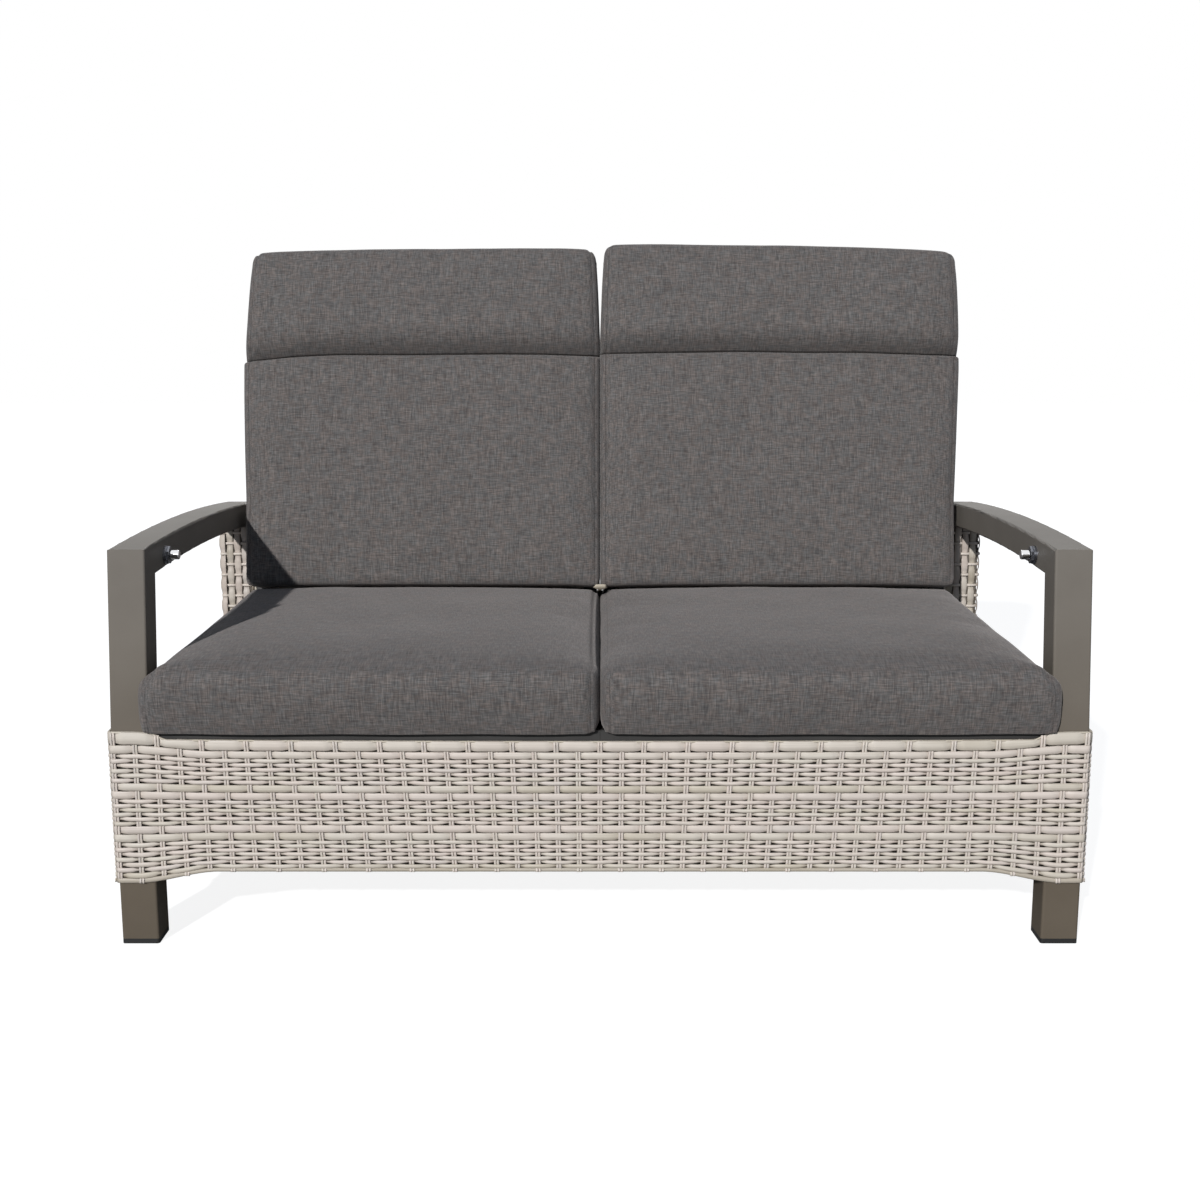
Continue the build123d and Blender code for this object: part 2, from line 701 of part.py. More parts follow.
def cable_route():
    """Points and bend radii of the cable from the button to the head of the gas spring."""
    cable_y, cable_z = cable_line()
    start_x = -leg_inner - bezel_barrel_length
    down_x = -half_width + leg_side * mid_share * hull_share
    mid_y = leg_side / 2
    lean = arm_lean * (button_z - skirt_top) / (arm_front_top - skirt_top)
    end_x = -spring_middle - head_width / 2
    points = [(start_x, button_back, button_z), (down_x, button_back, button_z),
              (down_x, mid_y + lean, button_z), (down_x, mid_y, skirt_top),
              (down_x, mid_y, cable_z), (down_x, cable_y, cable_z), (end_x, cable_y, cable_z)]
    turns, radii = [], []
    for a, b, c in zip(points, points[1:], points[2:]):
        before, after = Vector(*b) - Vector(*a), Vector(*c) - Vector(*b)
        turn = radians(before.get_angle(after))
        run = min(before.length, after.length)
        radii.append(min(leg_side * mid_share, bend_share * run / tan(turn / 2)))
        turns.append(degrees(turn))
    return points, radii, turns


def release_cable():
    """Cable from the button barrel down the post and leg and across to the release lever."""
    points, radii, turns = cable_route()
    path = FilletPolyline(*points, radius=radii)
    start = Plane(origin=points[0], z_dir=Vector(*points[1]) - Vector(*points[0]))
    cover = sweep(start * Circle(cable_diameter / 2), path=path)
    ratio = cover.volume / (pi * cable_diameter ** 2 / 4 * path.length)
    print("cable length", round(path.length, 1), "volume ratio", round(ratio, 4))
    print("cable radii", [round(r, 1) for r in radii], "turns", [round(t, 1) for t in turns])
    end = Vector(*points[-1])
    reach = end + Vector(head_width / 2 + nipple_length, 0, 0)
    return cover + rod(tuple(end), tuple(reach), wire_diameter)


# Cushions
def soft_outline(a0, a1, b0, b1, corner, bulge, crown, plane):
    """Closed outline with round corners: a flat base side, bulged ends and a crowned face.

    a runs along the base and b away from it. The ends bulge out to a0 and a1.
    """
    a0, a1 = a0 + bulge, a1 - bulge
    r, k = corner, corner * arc_share
    lift = min(corner, (b1 - b0) * lift_share)
    j = lift * arc_share
    mid_a, mid_b = (a0 + a1) / 2, (b0 + b1) / 2
    lines = [
        Line((a0 + r, b0), (a1 - r, b0)),
        ThreePointArc((a1 - r, b0), (a1 - k, b0 + j), (a1, b0 + lift)),
        ThreePointArc((a1, b0 + lift), (a1 + bulge, mid_b), (a1, b1 - lift)),
        ThreePointArc((a1, b1 - lift), (a1 - k, b1 - j), (a1 - r, b1)),
        ThreePointArc((a1 - r, b1), (mid_a, b1 + crown), (a0 + r, b1)),
        ThreePointArc((a0 + r, b1), (a0 + k, b1 - j), (a0, b1 - lift)),
        ThreePointArc((a0, b1 - lift), (a0 - bulge, mid_b), (a0, b0 + lift)),
        ThreePointArc((a0, b0 + lift), (a0 + k, b0 + j), (a0 + r, b0)),
    ]
    return plane * make_face(Wire(lines))


def seat_cushion():
    """Box cushion with a crowned top, soft round edges and drawn-in sides."""
    x0, x1 = -leg_inner + seat_side_gap, -seat_middle_gap
    low = deck_top + mating_gap
    sections = []
    for place, thick, draw in zip(seat_place_shares, seat_thick_shares, seat_draw_shares):
        inset = draw * seat_corner * mid_share
        base = low + seat_height * (1 - thick) * lift_share
        plane = Plane(origin=(x0 + (x1 - x0) * place, 0, 0), x_dir=(0, 1, 0), z_dir=(1, 0, 0))
        sections.append(soft_outline(-seat_overhang + inset, base_depth - seat_before_rear - inset, base,
                                     base + seat_height * thick, seat_corner, seat_bulge,
                                     seat_crown * thick, plane))
    return loft(sections, ruled=True)


def back_block(z0, z1, places, thicks, draws):
    """Part of a back cushion between two heights, lofted upwards."""
    x0, x1 = -back_outer + back_cushion_edge_gap, -back_cushion_middle_gap
    rear = -back_tube / 2 - mating_gap
    sections = []
    for place, thick, draw in zip(places, thicks, draws):
        inset = draw * back_cushion_corner * mid_share
        base = back_cushion_thickness * max(0, 1 - thick) * lift_share
        plane = Plane(origin=(0, rear, z0 + (z1 - z0) * place), x_dir=(-1, 0, 0), z_dir=(0, 0, 1))
        sections.append(soft_outline(-x1 + inset, -x0 - inset, base, base + back_cushion_thickness * thick,
                                     back_cushion_corner, back_cushion_bulge,
                                     back_cushion_crown * thick, plane))
    return loft(sections, ruled=True)


def back_cushion():
    """High back cushion with a sewn channel below its fuller head section."""
    body = back_block(back_cushion_start, head_seam, body_place_shares, body_thick_shares, body_draw_shares)
    head = back_block(head_seam, back_cushion_top, head_place_shares, head_thick_shares, head_draw_shares)
    return laid_back(body + head)


# Assembly
post_hole = rod((-half_width + leg_side * mid_share * hull_share, leg_side - overrun, cable_line()[1]),
                (-half_width + leg_side * mid_share * hull_share, leg_side + overrun / 2, cable_line()[1]),
                cable_diameter + 2 * cable_hole_slack)
front_leg = leg(0, skirt_top) - post_hole

parts = {
    "front_top_rail": cross_rail(0, rail_bottom, rail_height),
    "front_bottom_rail": cross_rail(0, lower_rail_bottom, lower_rail_side),
    "rear_top_rail": cross_rail(base_depth - rail_height, rail_bottom, rail_height),
    "rear_bottom_rail": cross_rail(base_depth - lower_rail_side, lower_rail_bottom, lower_rail_side),
    "centre_rail": centre_rail(),
    "wicker_skirt_front": skirt_front(-weave_thickness),
    "wicker_skirt_rear": skirt_front(base_depth),
    "hinge_bracket_centre": hinge_bracket_centre(),
    "hinge_pins": hinge_pins(),
    "bracket_bolts": bracket_bolts(),
    "foot_caps": Compound(children=[piece for y0 in (0, rear_leg_front)
                                    for piece in (foot_cap(y0), other_side(foot_cap(y0)))]),
    "anchor_pins": Compound(children=[anchor_pin(), other_side(anchor_pin())]),
}
left_pieces = {
    "front_leg": front_leg,
    "rear_leg": rear_leg(),
    "side_top_rail": side_rail(rail_bottom, rail_width) - bolt_hole(),
    "side_bottom_rail": side_rail(lower_rail_bottom, lower_rail_side),
    "seat_deck": seat_deck(),
    "wicker_skirt": skirt_side(),
    "arm_post": arm_post(),
    "arm_rail": arm_rail(),
    "post_wrap": post_wrap(),
    "back_frame": back_frame(),
    "back_weave": back_weave(),
    "hinge_bracket": hinge_bracket_outer(),
    "recline_lever": recline_lever(),
    "lever_pin": lever_pin(),
    "spring_anchor": spring_anchor(),
    "spring_rod": spring_rod(),
    "spring_cylinder": spring_cylinder(),
    "release_head": release_head(),
    "release_lever": release_lever(),
    "button_bezel": button_bezel(),
    "button": button(),
    "release_cable": release_cable(),
    "seat_cushion": seat_cushion(),
    "back_cushion": back_cushion(),
}
for name, shape in left_pieces.items():
    parts[name + "_left"] = shape
    parts[name + "_right"] = other_side(shape)

# The origin is under the middle of the whole piece, on the floor
front = min(shape.bounding_box().min.Y for shape in parts.values())
rear = max(shape.bounding_box().max.Y for shape in parts.values())
middle_y = (front + rear) / 2
os.makedirs("parts", exist_ok=True)
for name, shape in parts.items():
    export_step(Pos(0, -middle_y, 0) * shape, f"parts/{name}.step")

spring_full, slope_full = spring_line(recline_range)
turn = radians(recline_range)
print("nodes", len(parts), "middle_y", round(middle_y, 3))
print("hinge y", round(hinge_y - middle_y, 3), "z", hinge_z, "back x", back_outer, back_centre_gap)
print("anchor y", round(anchor_y - middle_y, 3), "z", anchor_z, "x", spring_middle)
print("tilt ratio", round((slope_full - spring_slope) / turn, 5), "slope", round(spring_slope, 5))
print("slide ratio m per rad", round((spring_full - spring_rest) / turn / 1000, 5))
pivot = along_spring(Vertex(0, -release_pivot, head_height / 2)).center()
print("release pivot", [round(v, 3) for v in pivot], "ratio rad per m", round(1000 / release_reach, 4))
print("button", -leg_inner, round(button_back - middle_y, 3), button_z)
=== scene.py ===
"""Two-seat patio loveseat: woven resin skirt, powder-coated arms, reclining backs and grey cushions.

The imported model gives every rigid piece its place. This script gives them their finishes, weaves the
resin strands and sews the cushions. Metres, +Z up, the front faces -Y, the floor is at Z 0.
"""

import json
from math import pi, radians

import bpy
import numpy as np
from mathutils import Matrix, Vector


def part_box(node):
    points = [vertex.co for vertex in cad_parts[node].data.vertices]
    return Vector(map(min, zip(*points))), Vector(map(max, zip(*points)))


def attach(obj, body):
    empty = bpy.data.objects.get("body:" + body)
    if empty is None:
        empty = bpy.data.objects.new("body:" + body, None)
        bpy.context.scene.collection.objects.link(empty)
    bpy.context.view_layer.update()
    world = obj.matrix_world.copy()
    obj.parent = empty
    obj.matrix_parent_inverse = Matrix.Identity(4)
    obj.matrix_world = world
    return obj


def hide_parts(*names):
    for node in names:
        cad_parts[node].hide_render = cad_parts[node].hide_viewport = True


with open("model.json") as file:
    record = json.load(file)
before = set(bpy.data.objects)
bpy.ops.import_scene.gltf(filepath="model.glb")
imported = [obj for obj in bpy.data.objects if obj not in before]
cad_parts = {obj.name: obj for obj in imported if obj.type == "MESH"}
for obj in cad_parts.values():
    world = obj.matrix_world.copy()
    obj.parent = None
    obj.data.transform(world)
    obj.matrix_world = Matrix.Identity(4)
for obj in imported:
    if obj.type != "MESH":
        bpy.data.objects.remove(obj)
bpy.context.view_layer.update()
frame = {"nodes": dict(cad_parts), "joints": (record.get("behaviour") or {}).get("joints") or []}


# Camera: stands in front of the seat at chest height and looks slightly down, as the picture was taken.
# Its distance is counted from the front faces of the legs.
camera_distance = 2.29904
camera_height = 0.97681
camera_pitch = 10.54
leg_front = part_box("front_leg_left")[0][1]
lens = bpy.data.cameras.new("camera")
lens.lens = 46.55
lens.sensor_width = 36
camera = bpy.data.objects.new("camera", lens)
camera.location = (0, leg_front - camera_distance, camera_height)
camera.rotation_euler = (radians(90 - camera_pitch), 0, 0)
bpy.context.scene.collection.objects.link(camera)
bpy.context.scene.camera = camera
bpy.context.scene.view_settings.view_transform = "Standard"


# Light: a low lamp far in front and a little to the left, a broad weak one behind, and an even pale
# surround, slightly cool. What the camera, metal and glass see of the surround is white.
class Tone:
    """A value or colour inside a material; arithmetic on it adds Math nodes."""

    def __init__(self, tree, socket=None):
        self.tree, self.socket = tree, socket

    def node(self, kind, inputs=(), output=0, stops=(), **settings):
        """Adds a node of any kind: its settings, then its ramp's stops, then its sockets' values or links."""
        made = self.tree.nodes.new(kind)
        for name, value in settings.items():
            setattr(made, name, value)
        while len(stops) > len(made.color_ramp.elements if stops else ()):
            made.color_ramp.elements.new(1)
        for number, (place, colour) in enumerate(stops):
            made.color_ramp.elements[number].position = place
            made.color_ramp.elements[number].color = (*colour, 1)
        for key, value in dict(inputs).items():
            if isinstance(value, Tone):
                self.tree.links.new(value.socket, made.inputs[key])
            else:
                made.inputs[key].default_value = value
        return Tone(self.tree, made.outputs[output] if made.outputs else None)

    def math(self, operation, *values):
        """Arithmetic on numbers and Tones."""
        return self.node("ShaderNodeMath", dict(enumerate(values)), operation=operation)

    def place(self):
        """The object's own coordinates."""
        return self.node("ShaderNodeTexCoord", output=3)

    def attribute(self, name, output=2):
        """A value that the mesh carries: a number, or a vector as output 1."""
        return self.node("ShaderNodeAttribute", output=output, attribute_name=name)

    def noise(self, scale, detail, stretch=None):
        """Noise over this place; stretch gives its fineness along each axis."""
        at = self.node("ShaderNodeMapping", {"Vector": self, "Scale": stretch}) if stretch else self
        return self.node("ShaderNodeTexNoise", {"Vector": at, "Scale": scale, "Detail": detail})

    def ramp(self, *stops):
        """Colours for this value."""
        return self.node("ShaderNodeValToRGB", {0: self}, stops=stops)

    def between(self, first, second):
        """The colour that lies between two others by this share."""
        return self.node("ShaderNodeMix", {0: self, 6: first, 7: second}, output=2, data_type="RGBA")

    def tinted(self, share, other):
        """This colour multiplied by a share of another."""
        return self.node("ShaderNodeMix", {0: share, 6: self, 7: other}, output=2, data_type="RGBA",
                         blend_type="MULTIPLY")

    def feeds(self, shader, socket):
        """Drives a socket of the surface shader."""
        self.tree.links.new(self.socket, shader.inputs[socket])

    def roughens(self, shader, strength, depth):
        """Becomes the height of fine relief, depth metres from 0 to 1."""
        relief = self.node("ShaderNodeBump", {"Height": self, "Strength": strength, "Distance": depth})
        relief.feeds(shader, "Normal")

    def __add__(self, other):
        return self.math("ADD", self, other)

    def __sub__(self, other):
        return self.math("SUBTRACT", self, other)

    def __rsub__(self, other):
        return self.math("SUBTRACT", other, self)

    def __mul__(self, other):
        return self.math("MULTIPLY", self, other)

    __radd__, __rmul__ = __add__, __mul__


world = bpy.data.worlds.new("surround")
bpy.context.scene.world = world
world.use_nodes = True
world.node_tree.nodes.clear()
surround = Tone(world.node_tree)
rays = surround.node("ShaderNodeLightPath").socket.node.outputs
eye, gloss, clear = (Tone(world.node_tree, rays[f"Is {kind} Ray"])
                     for kind in ("Camera", "Glossy", "Transmission"))
direct = surround.math("MAXIMUM", eye, surround.math("MAXIMUM", gloss, clear))
sky_fill = 0.155
sky = surround.node("ShaderNodeBackground", {"Color": direct.between((0.80, 0.97, 1.25, 1), (1, 1, 1, 1)),
                                             "Strength": direct * (1 - sky_fill) + sky_fill})
surround.node("ShaderNodeOutputWorld", {"Surface": sky})

# The key light comes from this far across and ahead for each metre of height.
key_across, key_ahead = -0.74, -1.95
key_tilt, key_turn = np.arctan(np.hypot(key_across, key_ahead)), np.arctan2(key_across, -key_ahead)
for name, energy, width, tilt, turn in (("key_light", 3.1, 1.5, key_tilt, key_turn),
                                        ("rear_light", 0.7, 20.0, radians(58), pi)):
    lamp = bpy.data.lights.new(name, "SUN")
    lamp.energy = energy
    lamp.angle = radians(width)
    lamp = bpy.data.objects.new(name, lamp)
    lamp.rotation_euler = (tilt, 0, turn)
    bpy.context.scene.collection.objects.link(lamp)


# Floor: a plain pale sheet that the seat stands on and that keeps its shadow. To the camera it glows
# almost white; the object gets no light from that.
def finish(name, base=(0.5, 0.5, 0.5), roughness=0.5, **constants):
    """A new surface material; returns it, its shader node and a Tone to build from."""
    material = bpy.data.materials.new(name)
    material.use_nodes = True
    shader = material.node_tree.nodes["Principled BSDF"]
    shader.inputs["Base Color"].default_value = (*base, 1)
    shader.inputs["Roughness"].default_value = roughness
    for socket, value in constants.items():
        shader.inputs[socket.replace("_", " ")].default_value = value
    return material, shader, Tone(material.node_tree)


def surface(name, points, faces, material, smooth=True):
    """A mesh object at the origin from points (n, 3) and four-sided faces (m, 4)."""
    mesh = bpy.data.meshes.new(name)
    mesh.from_pydata(np.reshape(points, (-1, 3)), [], np.reshape(faces, (-1, 4)))
    mesh.polygons.foreach_set("use_smooth", np.full(len(mesh.polygons), smooth))
    mesh.materials.append(material)
    mesh.update()
    piece = bpy.data.objects.new(name, mesh)
    bpy.context.scene.collection.objects.link(piece)
    return piece


floor_reach = 14
floor_material, floor_shader, paint = finish("pale_floor", (0.30, 0.30, 0.30), 0.9, Specular_IOR_Level=0)
floor_shader.inputs["Emission Strength"].default_value = 0.88
glow = paint.node("ShaderNodeLightPath").between((0, 0, 0, 1), (1, 1, 1, 1))
glow.feeds(floor_shader, "Emission Color")
corners = np.array([(-1, -1, 0), (1, -1, 0), (1, 1, 0), (-1, 1, 0)]) * floor_reach
floor = surface("floor", corners, [(0, 1, 2, 3)], floor_material, smooth=False)


# Arms and legs: aluminium tube with a fine-textured bronze grey powder coat, baked on in one go, a
# little thinner and shinier along the tube's edges. The coat is painted darker and browner towards the
# floor and lighter towards the top: painted shade and light by height.
def coat_nodes(material, *nodes):
    """Puts one material on all the slots of the named CAD pieces."""
    for name in nodes:
        for slot in frame["nodes"][name].material_slots:
            slot.material = material


def sides(*names):
    """The left and right nodes of each name."""
    return [f"{name}_{side}" for name in names for side in ("left", "right")]


arm_paint, arm_shader, paint = finish("bronze_grey_powder_coat", roughness=0.5, Specular_IOR_Level=0.12)
place = paint.place()
cloud, grit = place.noise(9.0, 3.0), place.noise(1500.0, 2.0)
height = paint.node("ShaderNodeSeparateXYZ", {0: place}, output=2)
# Painted shade and light by height: darker and browner low down, lighter high up.
painted_height_shade = height.ramp((0.16, (0.77, 0.72, 0.63)), (0.62, (1.08, 1.11, 1.12)))
bronze = (cloud * 0.7 + grit * 0.3).ramp((0.3, (0.150, 0.131, 0.112)), (0.7, (0.182, 0.161, 0.139)))
bronze.tinted(1.0, painted_height_shade).feeds(arm_shader, "Base Color")
(grit * 0.16 + 0.42).feeds(arm_shader, "Roughness")
grit.roughens(arm_shader, 0.12, 0.0004)
coat_nodes(arm_paint, *sides("arm_post", "arm_rail", "front_leg", "rear_leg"))


# Base frame, decks and back hoops: aluminium tube and bar, welded up and then given a matt dark coat.
# The hoops turn on pins in the hinge brackets at the rear of the base.
frame_paint, frame_shader, paint = finish("dark_matt_coat", roughness=0.6, Specular_IOR_Level=0.35)
place = paint.place()
cloud = place.noise(14.0, 4.0)
cloud.ramp((0.35, (0.030, 0.029, 0.028)), (0.7, (0.045, 0.043, 0.041))).feeds(frame_shader, "Base Color")
(cloud * 0.2 + 0.5).feeds(frame_shader, "Roughness")
place.noise(900.0, 2.0).roughens(frame_shader, 0.15, 0.0004)
coat_nodes(frame_paint, "front_top_rail", "front_bottom_rail", "rear_top_rail", "rear_bottom_rail",
           "centre_rail", "hinge_bracket_centre",
           *sides("side_top_rail", "side_bottom_rail", "seat_deck", "back_frame", "hinge_bracket",
                  "recline_lever", "spring_anchor"))


# Pins, bolts and release levers: steel, turned or stamped and then zinc-plated, with the faint mottling
# of the plating. They join the backs, the gas springs and the base.
zinc, zinc_shader, paint = finish("zinc_plate", (0.56, 0.56, 0.55), 0.35, Metallic=1.0)
mottle = paint.place().noise(180.0, 4.0)
mottle.ramp((0.3, (0.47, 0.47, 0.46)), (0.7, (0.62, 0.62, 0.6))).feeds(zinc_shader, "Base Color")
(mottle * 0.25 + 0.25).feeds(zinc_shader, "Roughness")
coat_nodes(zinc, "hinge_pins", "bracket_bolts", "anchor_pins", *sides("lever_pin", "release_lever"))


# Gas springs: a ground and polished rod slides in a steel cylinder with satin black paint. Each hangs
# between its cross tube and the lever under its back.
rod_steel, rod_shader, paint = finish("polished_rod", (0.74, 0.74, 0.75), 0.1, Metallic=1.0)
rings = paint.place().noise(1.0, 2.0, (20.0, 3000.0, 20.0))
(rings * 0.12 + 0.05).feeds(rod_shader, "Roughness")
coat_nodes(rod_steel, *sides("spring_rod"))

cylinder_paint, cylinder_shader, paint = finish("satin_black_paint", (0.018, 0.018, 0.019), 0.35)
peel = paint.place().noise(420.0, 1.0)
(peel * 0.2 + 0.26).feeds(cylinder_shader, "Roughness")
peel.roughens(cylinder_shader, 0.1, 0.0003)
coat_nodes(cylinder_paint, *sides("spring_cylinder", "release_head"))


# Push buttons: bright chrome with the dull bloom of fingerprints, one on the inner face of each arm,
# held by a nut and washer in dark nickel.
chrome, chrome_shader, paint = finish("bright_chrome", (0.83, 0.84, 0.86), 0.08, Metallic=1.0)
(paint.place().noise(240.0, 3.0) * 0.14 + 0.03).feeds(chrome_shader, "Roughness")
coat_nodes(chrome, *sides("button"))
collar, collar_shader, paint = finish("dark_nickel", (0.22, 0.23, 0.26), 0.28, Metallic=1.0)
(paint.place().noise(300.0, 3.0) * 0.2 + 0.18).feeds(collar_shader, "Roughness")
coat_nodes(collar, *sides("button_bezel"))


# Foot caps and release cables: moulded black plastic with a fine grain. The caps plug the legs, and the
# cables run inside the arm and leg to the gas springs.
plastic, plastic_shader, paint = finish("black_plastic", (0.012, 0.012, 0.012), 0.5)
grain = paint.place().noise(1100.0, 2.0)
(grain * 0.2 + 0.42).feeds(plastic_shader, "Roughness")
grain.roughens(plastic_shader, 0.2, 0.0003)
coat_nodes(plastic, "foot_caps", *sides("release_cable"))


# Woven skirt: resin strands woven by hand over pairs of upright strands, all round the base. Two wide
# flat rows alternate with six narrow round ones, and thin rims finish the panels above and below. A dark
# sheet just behind them is painted shade: it stands in for the shade inside the base that the gaps show.
resin, resin_shader, paint = finish("woven_resin", roughness=0.5, Specular_IOR_Level=0.35)
grain_at = paint.attribute("grain", output=1)
streak = grain_at.noise(1.0, 3.0, (9.0, 900.0, 10.0))
blotch = grain_at.noise(1.0, 2.0, (14.0, 40.0, 10.0))
shade = paint.attribute("tint").ramp((0.0, (0.660, 0.600, 0.490)), (0.35, (0.800, 0.750, 0.675)),
                                     (0.65, (0.835, 0.750, 0.690)), (1.0, (0.730, 0.690, 0.650)))
lined = shade.tinted(streak * 0.55 + blotch * 0.25, (0.50, 0.455, 0.40, 1))
# Painted shade: strands are darkened towards a dark brown where they dive, along their side edges and
# underneath.
lined.tinted(paint.attribute("painted_shade") * 0.8, (0.24, 0.195, 0.155, 1)).feeds(resin_shader, "Base Color")
(streak * 0.25 + 0.38).feeds(resin_shader, "Roughness")
streak.roughens(resin_shader, 0.25, 0.0003)

# Dark sheet behind the skirt: painted shade inside the base, seen through the gaps between strands.
shade_sheet, shade_sheet_shader, paint = finish("painted_shade_sheet", (0.020, 0.016, 0.013), 0.9, Specular_IOR_Level=0.1)
shade_sheet_mottle = paint.place().noise(700.0, 2.0)
shade_sheet_mottle.ramp((0.35, (0.014, 0.011, 0.009)), (0.65, (0.028, 0.023, 0.019))).feeds(shade_sheet_shader, "Base Color")


def carry(piece, name, values):
    """Stores one number, or one vector, for each point of a piece's mesh."""
    single = values.size == len(piece.data.vertices)
    stored = piece.data.attributes.new(name, "FLOAT" if single else "FLOAT_VECTOR", "POINT")
    stored.data.foreach_set("value" if single else "vector", values.reshape(-1).astype(np.float32))


def strands(name, body, centre, across, outward, half_wide, half_thick, tint, material=resin, around=8,
            square=0.7, painted_shade=0.0, under=0.0, edge=0.4):
    """Strands of oval section, each carried along its own line, that ride on a body.

    At line point c and angle a the surface is c + across * half_wide * sgn(cos a) |cos a|^square
    + outward * half_thick * sgn(sin a) |sin a|^square. centre is (strands, points, 3). The directions and
    the numbers may differ at each of its points or be the same for many, square from strand to strand.
    Both ends are closed. The attributes tint and grain carry the strand's tone and the place along and across
    it; the third attribute carries painted shade, the given amount + edge |cos a|^3 + under max(0, -cos a)^2,
    darker where the strand lies deep between its neighbours, along its side edges and on its underside.
    """
    lines, steps = centre.shape[:2]
    across, outward = np.broadcast_to(across, centre.shape), np.broadcast_to(outward, centre.shape)
    half_wide, half_thick, tint, painted_shade = (np.broadcast_to(value, (lines, steps))
                                          for value in (half_wide, half_thick, tint, painted_shade))
    angle = np.arange(around) * 2 * pi / around
    power = np.reshape(square, (-1, 1, 1))
    wide = half_wide[..., None] * np.sign(np.cos(angle)) * np.abs(np.cos(angle)) ** power
    thick = half_thick[..., None] * np.sign(np.sin(angle)) * np.abs(np.sin(angle)) ** power
    points = (centre[:, :, None] + across[:, :, None] * wide[..., None]
              + outward[:, :, None] * thick[..., None])
    number = np.arange(lines * steps * around).reshape(lines, steps, around)
    ahead = np.roll(number, -1, axis=2)
    walls = np.stack([number[:, :-1], ahead[:, :-1], ahead[:, 1:], number[:, 1:]], -1).reshape(lines, -1, 4)
    rung = np.arange(around // 2 - 1)
    lid = np.stack([-rung % around, rung + 1, rung + 2, (-rung - 1) % around], -1)
    faces = np.concatenate([walls, number[:, 0][:, lid[:, ::-1]], number[:, -1][:, lid]], 1)
    heading = (np.cross(across[:, :-1], outward[:, :-1]) * np.diff(centre, axis=1)).sum((1, 2))
    faces = np.where((heading < 0)[:, None, None], faces[..., ::-1], faces)
    piece = surface(name, points, faces, material)
    smooth = np.tile(np.arange(faces.shape[1]) < walls.shape[1], lines)
    piece.data.polygons.foreach_set("use_smooth", smooth)
    run = np.concatenate([np.zeros((lines, 1)), np.linalg.norm(np.diff(centre, axis=1), axis=2).cumsum(1)], 1)
    apart = np.arange(lines)[:, None, None] * 0.37
    carry(piece, "tint", np.repeat(tint, around))
    carry(piece, "grain", np.stack(np.broadcast_arrays(run[..., None], wide, apart), -1))
    deep = painted_shade[..., None] + edge * np.abs(np.cos(angle)) ** 3 + under * np.clip(-np.cos(angle), 0, 1) ** 2
    carry(piece, "painted_shade", np.clip(deep, 0, 1))
    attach(piece, body)
    return piece


def soft_noise(rng, shape, spacing):
    """Smooth random rows in 0..1: random values every spacing points, joined by straight runs."""
    rough = rng.random((shape[0], shape[1] // spacing + 2))
    at = np.arange(shape[1]) / spacing
    low = at.astype(int)
    part = at - low
    return rough[:, low] * (1 - part) + rough[:, low + 1] * part


def ease(value):
    """Smooth step 3t^2 - 2t^3 of a value held in 0..1."""
    t = np.clip(value, 0, 1)
    return t * t * (3 - 2 * t)


def dive(phase, sharp=1.6, float_share=0.0):
    """Over and under as a softened square wave in -1..1: tanh(sharp (cos(pi phase) + float_share)), scaled.

    A larger float_share keeps the strand on top until nearer to the stake that it dives under.
    """
    top, low = np.tanh(sharp * (1 + float_share)), np.tanh(sharp * (float_share - 1))
    return (2 * np.tanh(sharp * (np.cos(pi * phase) + float_share)) - top - low) / (top - low)


backward, rightward, up = np.array([0, 1.0, 0]), np.array([1.0, 0, 0]), np.array([0, 0, 1.0])
skirt_low, skirt_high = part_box("wicker_skirt_front")[0][2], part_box("wicker_skirt_front")[1][2]
weave_middle = 0.0030
stake_pitch = 0.0339
stake_half_wide, stake_half_thick, stake_half_gap = 0.00205, 0.0013, 0.00215
stake_out, stake_swing, stake_foot_out = 0.0002, 0.0009, (0.0026, -0.0012)
skirt_corner = 0.006
skirt_step, skirt_dip, skirt_shoulder, skirt_ramp, skirt_early = 0.012, 0.003, 0.030, 0.130, 0.030
skirt_lean = 0.062

# Shares of the panel's depth from the top: the rows' edges, the heights at which stakes are drawn, and
# where leg_shift says how much higher than between the legs a row lies at them, in metres.
row_shares = np.concatenate([[0, 0.0835, 0.1405], 0.1405 + np.arange(1, 7) * 0.03285, [0.3953, 0.4542],
                             0.4542 + np.arange(1, 7) * 0.03082, [0.6985, 0.7585],
                             0.7585 + np.arange(1, 7) * 0.03042, [0.974]])
row_middle_shares = (row_shares[1:] + row_shares[:-1]) / 2
stake_end_shares = (0.006, 0.970, 0.980, 0.990, 0.998)
turned_in_share = 0.975
leg_shift_shares = (0, 0.0835, 0.1405, 0.338, 0.454, 0.639, 0.7585, 0.941, 1)
leg_shift = (0.0120, 0.0085, 0.0066, 0.0022, 0.0012, -0.0028, -0.0040, -0.0140, -0.0190)

# Of narrow and wide rows: how far they swing out, their half thickness and waver, how sharply they dive,
# how long they float, what share of the row they fill and lose where squeezed, roundness, and how much
# painted shade darkens them there.
narrow = np.diff(row_shares) < 0.04
row_swing = 0.00145, 0.0014
row_half_thick = 0.00135, 0.00115
row_waver = 0.0006, 0.0002
row_sharp = 1.7, 3.2
row_float_share = 0.18, 0.60
row_fill_share = 0.99, 0.98
row_squeeze_share = 0.48, 0.17
row_square = 0.95, 0.65
row_shadow = 0.80, 0.35


